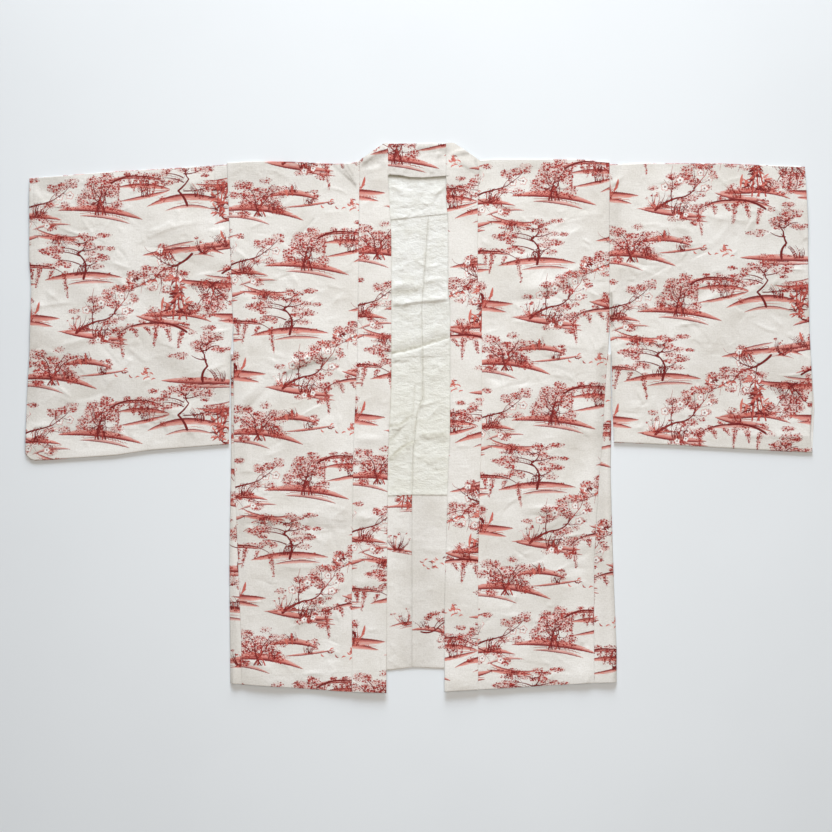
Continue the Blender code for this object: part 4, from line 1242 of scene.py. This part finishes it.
def front_relief(side, x, y, outer):
    """Ripples, creases and the curled hem, which die out at the seams and the shoulder."""
    from_outer, from_collar = np.abs(x - outer), (along(side.collar_seam, y) - x) * -side.outward
    rise = ripples(x, y, FRONT_RIPPLES + side.outward) + 0.35
    add_creases(rise, x, y, side.front_creases, TENT)
    add_creases(rise, x, y, small_creases(box_of(x, y), FRONT_CRUSH, side.outward))
    rise *= fade(np.minimum(from_outer, np.maximum(from_collar, 0.0)), SEAM_FADE)
    rise = floored(rise, -1.0, 0.15) + hem_curl(y) * (0.86 + 0.14 * np.sin(x / 23.0))
    return rise * fade(y[-1] - y, SHOULDER_FADE) - roll(from_outer, SEAM_DIP)


def back_beyond_collar(side, start_x, start_y, down):
    """The back from the collar seam to the centre seam, beside the given last column."""
    to_centre = shares(BODY_BEHIND)[1:]
    seam_side = SEAM_GAP / 2 * side.outward
    hem_x = blend(start_x[-1], along(CENTRE_SEAM, CENTRE_HEM_Y) + seam_side, to_centre)
    straight_y = blend(BACK_NECKLINE_Y, along(side.back_hem, hem_x), down[:, None])
    y = blend(start_y[:, None], straight_y, to_centre)
    start = along(side.collar_seam, y) - COLLAR_LAP * side.outward
    return stacked(blend(start, along(CENTRE_SEAM, y) + seam_side, to_centre), y, BACK_MID)


def body_piece(side, cloth):
    """One length of cloth: up the front, over the shoulder and down the back to the hem."""
    out, inset = side.outward, FOLD_RADIUS + cloth.wall / 2
    across = shares(BODY_ACROSS)

    def layer(hem, seam, up):
        def edges(y):
            return along(seam, y) - SEAM_GAP / 2 * out, along(side.collar_seam, y) - COLLAR_LAP * out

        hem_y = along(hem, blend(*edges(FRONT_HEM_Y), across))
        top_y = along(side.shoulder, blend(*edges(SHOULDER_Y), across)) - inset
        y = blend(hem_y, top_y, up[:, None])
        outer, inner = edges(y)
        return blend(outer, inner, across), y, outer

    x, y, outer = layer(side.front_hem, side.side_seam, shares(FRONT_STEPS))
    front = stacked(x, y, FRONT_MID + front_relief(side, x, y, outer))
    beyond, fold_z = fold_arc(FOLD_STEPS)
    fold = stacked(x[-1], y[-1] + beyond[:, None], fold_z[:, None])
    down = shares(BACK_STEPS)
    back_x, back_y, _ = layer(side.back_hem, side.back_side_seam, 1.0 - down)
    folded = np.concatenate([front, fold, stacked(back_x, back_y, BACK_MID)])

    # Only the back goes on beyond the collar seam; the other rows there are left out of the shell
    beyond_collar = np.repeat(folded[:, -1:], BODY_BEHIND, axis=1)
    beyond_collar[-len(down):] = back_beyond_collar(side, back_x[:, -1], back_y[:, -1], down)
    points = np.concatenate([folded, beyond_collar], axis=1)
    kept = np.ones(((len(points) - 1) // FINE, (BODY_ACROSS + BODY_BEHIND) // FINE), bool)
    kept[: (len(points) - 1 - BACK_STEPS) // FINE, BODY_ACROSS // FINE :] = False
    flat = unrolled(points, np.s_[FRONT_STEPS + 1 :, :, 1], y[-1].mean() + HALF_TURN)
    return add_shell("body_" + side.name, points, cloth, kept=kept, flat=flat)


def sleeve_relief(side, x, y):
    """Ripples, creases, the hemmed cuff, the free inner edge and the sprung fold at the bottom."""
    from_seam, from_cuff = (np.abs(x - along(edge, y)) for edge in (side.sleeve_edge, side.cuff_front))
    from_hem, from_folds = y - y[-1], np.minimum(y[0] - y, y - y[-1])
    rise = ripples(x, y, SLEEVE_RIPPLES + side.outward) + 0.4
    add_creases(rise, x, y, side.sleeve_creases, TENT)
    add_creases(rise, x, y, small_creases(box_of(x, y), SLEEVE_CRUSH, side.outward))
    rise = floored(rise * fade(from_folds, SHOULDER_FADE) * fade(from_seam, SEAM_FADE), -1.0, 0.15)
    rise += CUFF_CURL * (1.0 - fade(from_cuff, 26.0)) * fade(from_folds, 40.0)
    rise += roll(from_cuff, CUFF_HEM, 3.6, 1.3)
    free = fade(ARMHOLE_END_Y - y, 60.0) * fade(from_hem, 30.0)
    rise += CUFF_CURL * free * (1.0 - fade(from_seam, 22.0))
    return rise + FOLD_LIFT * (1.0 - fade(from_hem, 40.0)) - roll(from_seam, SEAM_DIP)


def sleeve_piece(side, cloth):
    """A tube pressed flat: a fold along the top and a seam along the bottom."""
    inset = FOLD_RADIUS + cloth.wall / 2
    out_along = shares(SLEEVE_ALONG)

    def layer(cuff, down):
        top_x = blend(along(side.sleeve_edge, SLEEVE_TOP_Y), along(cuff, CUFF_TOP_Y), out_along)
        low_x = blend(along(side.sleeve_edge, SLEEVE_HEM_Y), along(cuff, CUFF_HEM_Y), out_along)
        y = blend(along(side.sleeve_top, top_x) - inset, along(side.sleeve_hem, low_x) + inset, down[:, None])
        return blend(along(side.sleeve_edge, y), along(cuff, y), out_along), y

    x, y = layer(side.cuff_front, shares(SLEEVE_DOWN))
    front = stacked(x, y, FRONT_MID + sleeve_relief(side, x, y))
    back_x, back_y = layer(side.cuff_back, 1.0 - shares(SLEEVE_BACK))
    beyond, fold_z = (values[:, None] for values in fold_arc(SLEEVE_TURN))
    round_turn = shares(SLEEVE_TURN)[1:-1, None]
    hem_turn = stacked(blend(x[-1], back_x[0], round_turn), y[-1] - beyond, sprung(fold_z, FOLD_LIFT))
    top_turn = stacked(blend(back_x[-1], x[0], round_turn), y[0] + beyond[::-1], fold_z[::-1])
    ring = np.concatenate([front, hem_turn, stacked(back_x, back_y, BACK_MID), top_turn, front[:1]])
    flat = unrolled(ring, np.s_[SLEEVE_DOWN + 1 :, :, 1], y[-1].mean() - HALF_TURN)
    return add_shell("sleeve_" + side.name, ring, cloth, wrapped=True, flat=flat)


def gusset_piece(side, cloth):
    """The narrow wedge at the side, folded lengthwise so that its fold is the outline."""
    out, inset = side.outward, FOLD_RADIUS + cloth.wall / 2

    def line(edge, hem, corner_y, shift):
        y = blend(GUSSET_TOP_Y, along(hem, along(edge, corner_y)), shares(GUSSET_DOWN)[:, None])
        return along(edge, y) + shift * out, y

    seam, seam_y = line(side.side_seam, side.front_hem, FRONT_HEM_Y, SEAM_GAP / 2)
    fold, fold_y = line(side.gusset_fold, side.gusset_hem, FRONT_HEM_Y, -inset)
    back, back_y = line(side.back_side_seam, side.back_hem, BACK_HEM_Y, SEAM_GAP / 2)
    share, width = shares(GUSSET_FRONT), np.abs(fold - seam)
    x, y = blend(seam, fold, share), blend(seam_y, fold_y, share)
    rise = 0.5 * np.sin(np.pi * share) * fade(width, 16.0) - roll(np.abs(x - seam), SEAM_DIP)
    rise += 0.8 * HEM_CURL * (1.0 - fade(y - y[-1], HEM_CURL_REACH))
    rise *= fade(np.abs(fold - x), 4.0)
    opened = FOLD_LIFT * fade(width, 10.0)
    front = stacked(x, y, FRONT_MID + rise + opened * fade(share, 1.0))
    beyond, fold_z = fold_arc(GUSSET_TURN)
    turn = stacked(fold + beyond * out, fold_y, sprung(fold_z, opened))
    inwards = shares(GUSSET_BACK)
    rear = stacked(blend(fold, back, inwards), blend(fold_y, back_y, inwards), BACK_MID)
    points = np.concatenate([front, turn, rear], axis=1)
    flat = unrolled(points, np.s_[:, GUSSET_FRONT + 1 :, 0], fold + HALF_TURN * out)
    return add_shell("gusset_" + side.name, points, cloth, flat=flat)


def leg_height(across, share, below):
    """Height of the collar leg: straight between the steps of LEG_HEIGHTS, across and up.

    Its levels are the resting one, which share 0 eases up from within a ramp below the neck
    band, and the five over the band, evenly spaced over the share.
    """
    steps = np.array(LEG_HEIGHTS)
    levels = np.stack([np.interp(across, steps[:, 0], heights) for heights in steps[:, 1:].T])
    level = np.where(share > 0.0, 1.0 + share * 4.0, fade(1.0 - below / LEG_RAMP, 1.0))
    low = np.clip(level.astype(int), 0, len(levels) - 2)
    column = np.broadcast_to(np.arange(len(across)), level.shape)
    return blend(levels[low, column], levels[low + 1, column], np.clip(level - low, 0.0, 1.0))


def collar_leg_piece(side, cloth):
    """The doubled collar band beside a front, up to the slanting fold where it turns to the neck."""
    across = shares(LEG_ACROSS)

    def edges(y):
        return along(side.collar_seam, y) - SEAM_GAP / 2 * side.outward, along(side.collar_edge, y)

    hem_y = along(side.front_hem, blend(*edges(LEG_HEM_Y), across), ease=1.0)
    top_y = along(side.collar_top, blend(*edges(COLLAR_TURN_Y), across), ease=1.0)
    y = blend(hem_y, top_y, shares(LEG_STEPS)[:, None])
    seam, edge = edges(y)
    x = blend(seam, edge, across)
    from_seam, from_edge = np.abs(x - seam), np.abs(x - edge)

    share = np.clip((y - NECK_BAND_Y) / (top_y - NECK_BAND_Y), 0.0, 1.0)
    rise = 0.35 * ripples(x, y, LEG_RIPPLES + side.outward)
    add_creases(rise, x, y, (*small_creases(box_of(x, y), LEG_CRUSH, side.outward), *LEG_CREASES))
    rise = floored(rise, 0.0, 0.25) * fade(from_seam, 8.0)
    top_relief = np.zeros(x.shape)
    add_creases(top_relief, x, y, COLLAR_TOP_CREASES)
    z = leg_height(across, share, np.maximum(NECK_BAND_Y - y, 0.0)) + hem_curl(y)
    z += rise * (1.0 - share) + top_relief * fade(share, 0.3)
    z += roll(from_seam, 0.30, 2.2, 1.4) - roll(from_edge, 0.35, width=1.2)
    return add_shell("collar_" + side.name, stacked(x, y, z), cloth)


def neck_piece(cloth):
    """The collar behind the neck, seen from its inner side; its ends lie under the legs."""
    right, left = (along(side.collar_edge, COLLAR_TURN_Y) + NECK_TUCK * side.outward for side in SIDES)
    x = blend(right, left, shares(NECK_ACROSS))
    right_top, left_top = (along(side.collar_top, x, ease=1.0) for side in SIDES)
    right_corner, left_corner = RIGHT.collar_top[-1].x, LEFT.collar_top[0].x
    top_y = np.where(x < right_corner, right_top, np.where(x > left_corner, left_top, NECK_BAND_TOP_Y))
    share = shares(NECK_STEPS)[:, None]
    y = blend(along(NECK_HEM, x), top_y - NECK_INSET, share)
    x = np.broadcast_to(x, y.shape)
    rise = 0.25 * ripples(x, y, NECK_RIPPLES) + 0.1
    add_creases(rise, x, y, small_creases(NECK_BOX, NECK_CRUSH))
    z = np.interp(share, shares(len(NECK_HEIGHTS) - 1), NECK_HEIGHTS)
    z = z + floored(rise, -0.2) * fade(share * 50.0, 8.0)
    return add_shell("collar_neck", stacked(x, y, z), cloth)


def inner_piece(node, side, cloth, top, hem, steps, height, creases, crush):
    """A panel on the inside of the back, from under a collar leg to the centre seam."""
    out, across = side.outward, shares(INNER_ACROSS)

    def edges(y):
        return along(side.collar_edge, y) + TUCK_UNDER * out, along(CENTRE_SEAM, y) + SEAM_GAP / 2 * out

    top_y = along(top, blend(*edges(max(point.y for point in top)), across))
    hem_y = along(hem, blend(*edges(min(point.y for point in hem)), across), ease=1.0)
    y = blend(top_y, hem_y, shares(steps)[:, None])
    start, centre = edges(y)
    x = blend(start, centre, across)
    to_seam = np.abs(x - centre)
    rise = np.zeros(x.shape)
    add_creases(rise, x, y, creases)
    add_creases(rise, x, y, small_creases(box_of(x, y), crush, out))
    rise = floored(rise, -0.35, 0.1) * fade((along(side.collar_edge, y) - x) * out, 7.0)
    rise += roll(to_seam, 0.5, 1.6, 1.5) - roll(to_seam, LINING_SEAM_DIP, width=0.8)
    return add_shell(node, stacked(x, y, height(y[0] - y, y - y[-1]) + rise), cloth)


def lining_height(from_top, from_hem):
    """Under the yoke's edge at the top, over the turned-up cloth's edge at the hem."""
    return LINING_MID - 0.15 + 0.85 * (1.0 - fade(from_hem, 12.0))


def turn_up_height(from_top, from_hem):
    """Under the lining's hem at the top, down to the back's fold at the hem."""
    return TURN_UP_MID + 0.2 * fade(from_top, 10.0) - roll(from_hem, 0.25, width=1.4)


def yoke_piece(cloth):
    """The plain piece across the shoulders; its lower edge laps over the lining."""
    right, left = (along(side.collar_edge, YOKE_MIDDLE_Y) for side in SIDES)
    x = np.linspace(right - TUCK_UNDER, left + TUCK_UNDER, YOKE_ACROSS + 1)
    y = blend(YOKE_TOP_Y, along(YOKE_SEAM, x), shares(YOKE_STEPS)[:, None])
    x = np.broadcast_to(x, y.shape)
    rise = np.zeros(y.shape)
    add_creases(rise, x, y, YOKE_CREASES)
    add_creases(rise, x, y, small_creases(YOKE_BOX, YOKE_CRUSH))
    rise = floored(rise, -0.3) * fade(np.minimum(x - right, left - x), 6.0)
    rise *= fade(NECK_BAND_Y - 2.0 - y, 10.0)
    from_hem = y - y[-1]
    z = LINING_MID + rise + 0.5 * (1.0 - fade(from_hem, 14.0)) + roll(from_hem, 0.15, 3.0, 2.0)
    return add_shell("lining_yoke", stacked(x, y, z), cloth, name="cloth_yoke")


def moved(edge, distance):
    return tuple(point._replace(y=point.y + distance) for point in edge)


# The size of a cut: its width, length and area, in metres

Cut = namedtuple("Cut", "width length area")


# Where the print's corner lies on each piece, so that it doesn't meet at the seams: right, left

BODY_CORNERS = ((-318.0, -52.0), (92.0, 64.0))
SLEEVE_CORNERS = ((-660.0, 40.0), (300.0, -128.0))
GUSSET_CORNERS = ((-240.0, 100.0), (120.0, 0.0))
LEG_CORNERS = ((240.0, 248.0), (-150.0, 20.0))
TURN_UP_CORNERS = ((-60.0, -420.0), (-100.0, -420.0))
NECK_CORNER = (192.0, 124.0)
FINE_SPACING, COARSE_SPACING = 1.8, 1.9     # about how far apart a shell's points lie


# Settings and operators

def rgba(colour):
    return (*colour, 1.0)


def colour_property(name, description, default):
    return FloatVectorProperty(
        name=name, description=description, subtype="COLOR", size=3, min=0, max=1, default=default,
    )


class HaoriSettings(bpy.types.PropertyGroup):
    wall: FloatProperty(
        name="Cloth", description="Thickness of one layer of cloth",
        default=0.0007, min=0.0003, max=0.0012, unit="LENGTH",
    )
    collar_wall: FloatProperty(
        name="Collar", description="Thickness of the doubled collar band",
        default=0.0014, min=0.0006, max=0.002, unit="LENGTH",
    )
    ground: colour_property("Ground", "Colour of the cloth between the print", (0.884, 0.855, 0.812))
    shade: colour_property("Ground in patches", "The ground where it has yellowed", (0.768, 0.731, 0.672))
    pale: colour_property("Thin ink", "The print where the brush ran thin", (0.69, 0.205, 0.155))
    ink: colour_property("Ink", "The print's main colour", (0.465, 0.046, 0.036))
    dark: colour_property("Dark ink", "The print's deepest strokes", (0.175, 0.012, 0.011))
    lining: colour_property("Lining", "Colour of the plain lining", (0.84, 0.835, 0.80))
    # Colour of the lining's painted shade in its crushed patches
    lining_shade: colour_property("Lining in patches", "The lining where it is creased", (0.75, 0.735, 0.675))
    lining_aged: colour_property("Aged lining", "The lower lining, which has yellowed", (0.76, 0.74, 0.635))


class StageSettings(bpy.types.PropertyGroup):
    floor: colour_property("Floor", "Colour of the surface", (0.798, 0.822, 0.838))
    key_power: FloatProperty(
        name="Window light", description="Power of the light past the neck", default=64.0, unit="POWER",
    )
    fill_power: FloatProperty(
        name="Overhead light", description="Power of the light overhead", default=10.3, unit="POWER",
    )
    slant: FloatProperty(
        name="Slanting light", description="Strength of the far light", default=1.42, min=0,
    )
    sky: FloatProperty(
        name="Surround", description="Strength of the even light from all round", default=0.194, min=0,
    )
    frame_width: FloatProperty(
        name="View", description="Width of surface that the camera sees", default=1.381, unit="LENGTH",
    )


MADE = {}


def once(name, make, *values):
    """Materials and the print are made by the first operator that needs them."""
    if name not in MADE:
        MADE[name] = make(*values)
    return MADE[name]


def printed_cloth(corner, slot="printed_cloth", doubled=False, layout=LAYOUT, spacing=FINE_SPACING):
    """Printed cloth cut with the print's corner at a place."""
    settings = bpy.context.scene.haori
    colours = (settings.ground, settings.shade, settings.pale, settings.ink, settings.dark)
    finish = once("printed finish", printed_finish, *map(rgba, colours))
    pattern = once(layout, draw_pattern, layout)
    wall = settings.collar_wall if doubled else settings.wall
    return Cloth(wall / MM, finish, slot, Cutting(pattern, *corner, spacing))


def plain_cloth():
    settings = bpy.context.scene.haori
    colours = (settings.lining, settings.lining_shade, settings.lining_aged)
    finish = once("lining finish", lining_finish, *map(rgba, colours))
    return Cloth(settings.wall / MM, finish, "plain_lining", None)


class HAORI_OT_bodies(bpy.types.Operator):
    """Two lengths of cloth over the shoulders"""
    bl_idname = "haori.bodies"
    bl_label = "Fronts and back"

    def execute(self, context):
        for side, corner in zip(SIDES, BODY_CORNERS):
            body_piece(side, printed_cloth(corner))
        return {"FINISHED"}


class HAORI_OT_sleeves(bpy.types.Operator):
    """Two flat sleeves"""
    bl_idname = "haori.sleeves"
    bl_label = "Sleeves"

    def execute(self, context):
        for side, corner in zip(SIDES, SLEEVE_CORNERS):
            sleeve_piece(side, printed_cloth(corner))
        return {"FINISHED"}


class HAORI_OT_gussets(bpy.types.Operator):
    """Two wedges under the arms"""
    bl_idname = "haori.gussets"
    bl_label = "Gussets"

    def execute(self, context):
        for side, corner in zip(SIDES, GUSSET_CORNERS):
            gusset_piece(side, printed_cloth(corner))
        return {"FINISHED"}


class HAORI_OT_collar(bpy.types.Operator):
    """The doubled band down both fronts and behind the neck"""
    bl_idname = "haori.collar"
    bl_label = "Collar"

    def execute(self, context):
        for side, corner in zip(SIDES, LEG_CORNERS):
            piece = collar_leg_piece(side, printed_cloth(corner, "printed_collar", doubled=True))
        neck = printed_cloth(NECK_CORNER, "printed_collar", doubled=True, spacing=COARSE_SPACING)
        neck_piece(neck)
        return {"FINISHED"}


class HAORI_OT_lining(bpy.types.Operator):
    """The plain lining where it shows inside the back"""
    bl_idname = "haori.lining"
    bl_label = "Lining"

    def execute(self, context):
        for side in SIDES:
            piece = inner_piece(
                "lining_" + side.name, side, plain_cloth(), moved(YOKE_SEAM, LINING_LAP), LINING_HEM,
                LINING_STEPS, lining_height, side.lining_creases, LINING_CRUSH,
            )
        yoke_piece(plain_cloth())
        return {"FINISHED"}


class HAORI_OT_turn_ups(bpy.types.Operator):
    """The back's own cloth turned up inside from the hem"""
    bl_idname = "haori.turn_ups"
    bl_label = "Turned-up hem"

    def execute(self, context):
        for side, corner in zip(SIDES, TURN_UP_CORNERS):
            cloth = printed_cloth(corner, layout=HEM_LAYOUT, spacing=COARSE_SPACING)
            piece = inner_piece(
                "turn_up_" + side.name, side, cloth, moved(LINING_HEM, LINING_LAP), side.back_hem,
                TURN_UP_STEPS, turn_up_height, TURN_UP_CREASES, TURN_UP_CRUSH,
            )
        return {"FINISHED"}


# The stage; lengths and places in metres

Lamp = namedtuple("Lamp", "name kind size tint place aim")      # size across, or the sun's in degrees
WINDOW = Lamp("window", "AREA", 1.4, (0.97, 1.0, 1.03), (0.1, 2.6, 1.0), (0.0, 0.2, 0.0))
OVERHEAD = Lamp("overhead", "AREA", 1.0, (1.01, 1.0, 0.98), (0.11, -0.17, 1.6), (0.11, -0.17, 0.0))
SLANT = Lamp("slant", "SUN", 24.0, (0.80, 1.0, 1.21), (-0.15, 1.8, 0.86), (0.0, 0.0, 0.0))
SURROUND_TINT = (1.20, 1.0, 0.80)
FLOOR_HALF = 30.0       # far enough to fill the picture from low down
FARTHEST = 100.0
LENS, SENSOR = 85.0, 36.0       # millimetres
CAMERA_SHIFT = (-0.0066, 0.0028)


def add_light(lamp, power):
    data = bpy.data.lights.new(lamp.name, lamp.kind)
    data.energy, data.color = power, lamp.tint
    if lamp.kind == "AREA":
        data.shape, data.size = "DISK", lamp.size
    else:
        data.angle = np.radians(lamp.size)
    light = link(lamp.name, data)
    light.location = lamp.place
    light.rotation_euler = (Vector(lamp.aim) - Vector(lamp.place)).to_track_quat("-Z", "Y").to_euler()


class HAORI_OT_stage(bpy.types.Operator):
    """Floor, soft light from past the neck and a camera straight above"""
    bl_idname = "haori.stage"
    bl_label = "Stage"

    def execute(self, context):
        scene, stage = context.scene, context.scene.haori_stage
        mesh = bpy.data.meshes.new("floor")
        corners = [(x * FLOOR_HALF, y * FLOOR_HALF, 0) for x, y in ((-1, -1), (1, -1), (1, 1), (-1, 1))]
        mesh.from_pydata(corners, [], [(0, 1, 2, 3)])
        mesh.materials.append(floor_finish(rgba(stage.floor)))
        link("floor", mesh)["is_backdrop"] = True
        add_light(WINDOW, stage.key_power)
        add_light(OVERHEAD, stage.fill_power)
        add_light(SLANT, stage.slant)
        world = bpy.data.worlds.new("surround")
        world.use_nodes = True
        background = world.node_tree.nodes["Background"]
        background.inputs["Color"].default_value = rgba(SURROUND_TINT)
        background.inputs["Strength"].default_value = stage.sky
        scene.world = world
        scene.view_settings.view_transform = "Standard"
        lens = bpy.data.cameras.new("camera")
        lens.lens, lens.sensor_width, lens.clip_end = LENS, SENSOR, FARTHEST
        scene.camera = link("camera", lens)
        scene.camera.matrix_world = Matrix.Translation((*CAMERA_SHIFT, stage.frame_width * LENS / SENSOR))
        return {"FINISHED"}


OPERATORS = (
    HAORI_OT_stage, HAORI_OT_bodies, HAORI_OT_sleeves, HAORI_OT_gussets,
    HAORI_OT_turn_ups, HAORI_OT_lining, HAORI_OT_collar,
)


class HAORI_PT_panel(bpy.types.Panel):
    """The sizes and colours, and the operators in order"""
    bl_idname = "HAORI_PT_panel"
    bl_label = "Laid-out haori"
    bl_space_type = "VIEW_3D"
    bl_region_type = "UI"
    bl_category = "Haori"

    def draw(self, context):
        layout = self.layout
        for group in (context.scene.haori, context.scene.haori_stage):
            for name in group.bl_rna.properties.keys():
                if name not in ("rna_type", "name"):
                    layout.prop(group, name)
        for operator in OPERATORS:
            layout.operator(operator.bl_idname)


CLASSES = (HaoriSettings, StageSettings, *OPERATORS, HAORI_PT_panel)


def register():
    for cls in CLASSES:
        bpy.utils.register_class(cls)
    bpy.types.Scene.haori = PointerProperty(type=HaoriSettings)
    bpy.types.Scene.haori_stage = PointerProperty(type=StageSettings)


def unregister():
    del bpy.types.Scene.haori
    del bpy.types.Scene.haori_stage
    for cls in reversed(CLASSES):
        bpy.utils.unregister_class(cls)


def main():
    register()
    for operator in OPERATORS:
        group, name = operator.bl_idname.split(".")
        getattr(getattr(bpy.ops, group), name)()
    sizes = dict(cad=[list(map(float, corner)) for corner in CAD_BOX])
    sizes["visual"] = [list(map(float, corner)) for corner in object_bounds()]


if __name__ == "__main__":
    main()
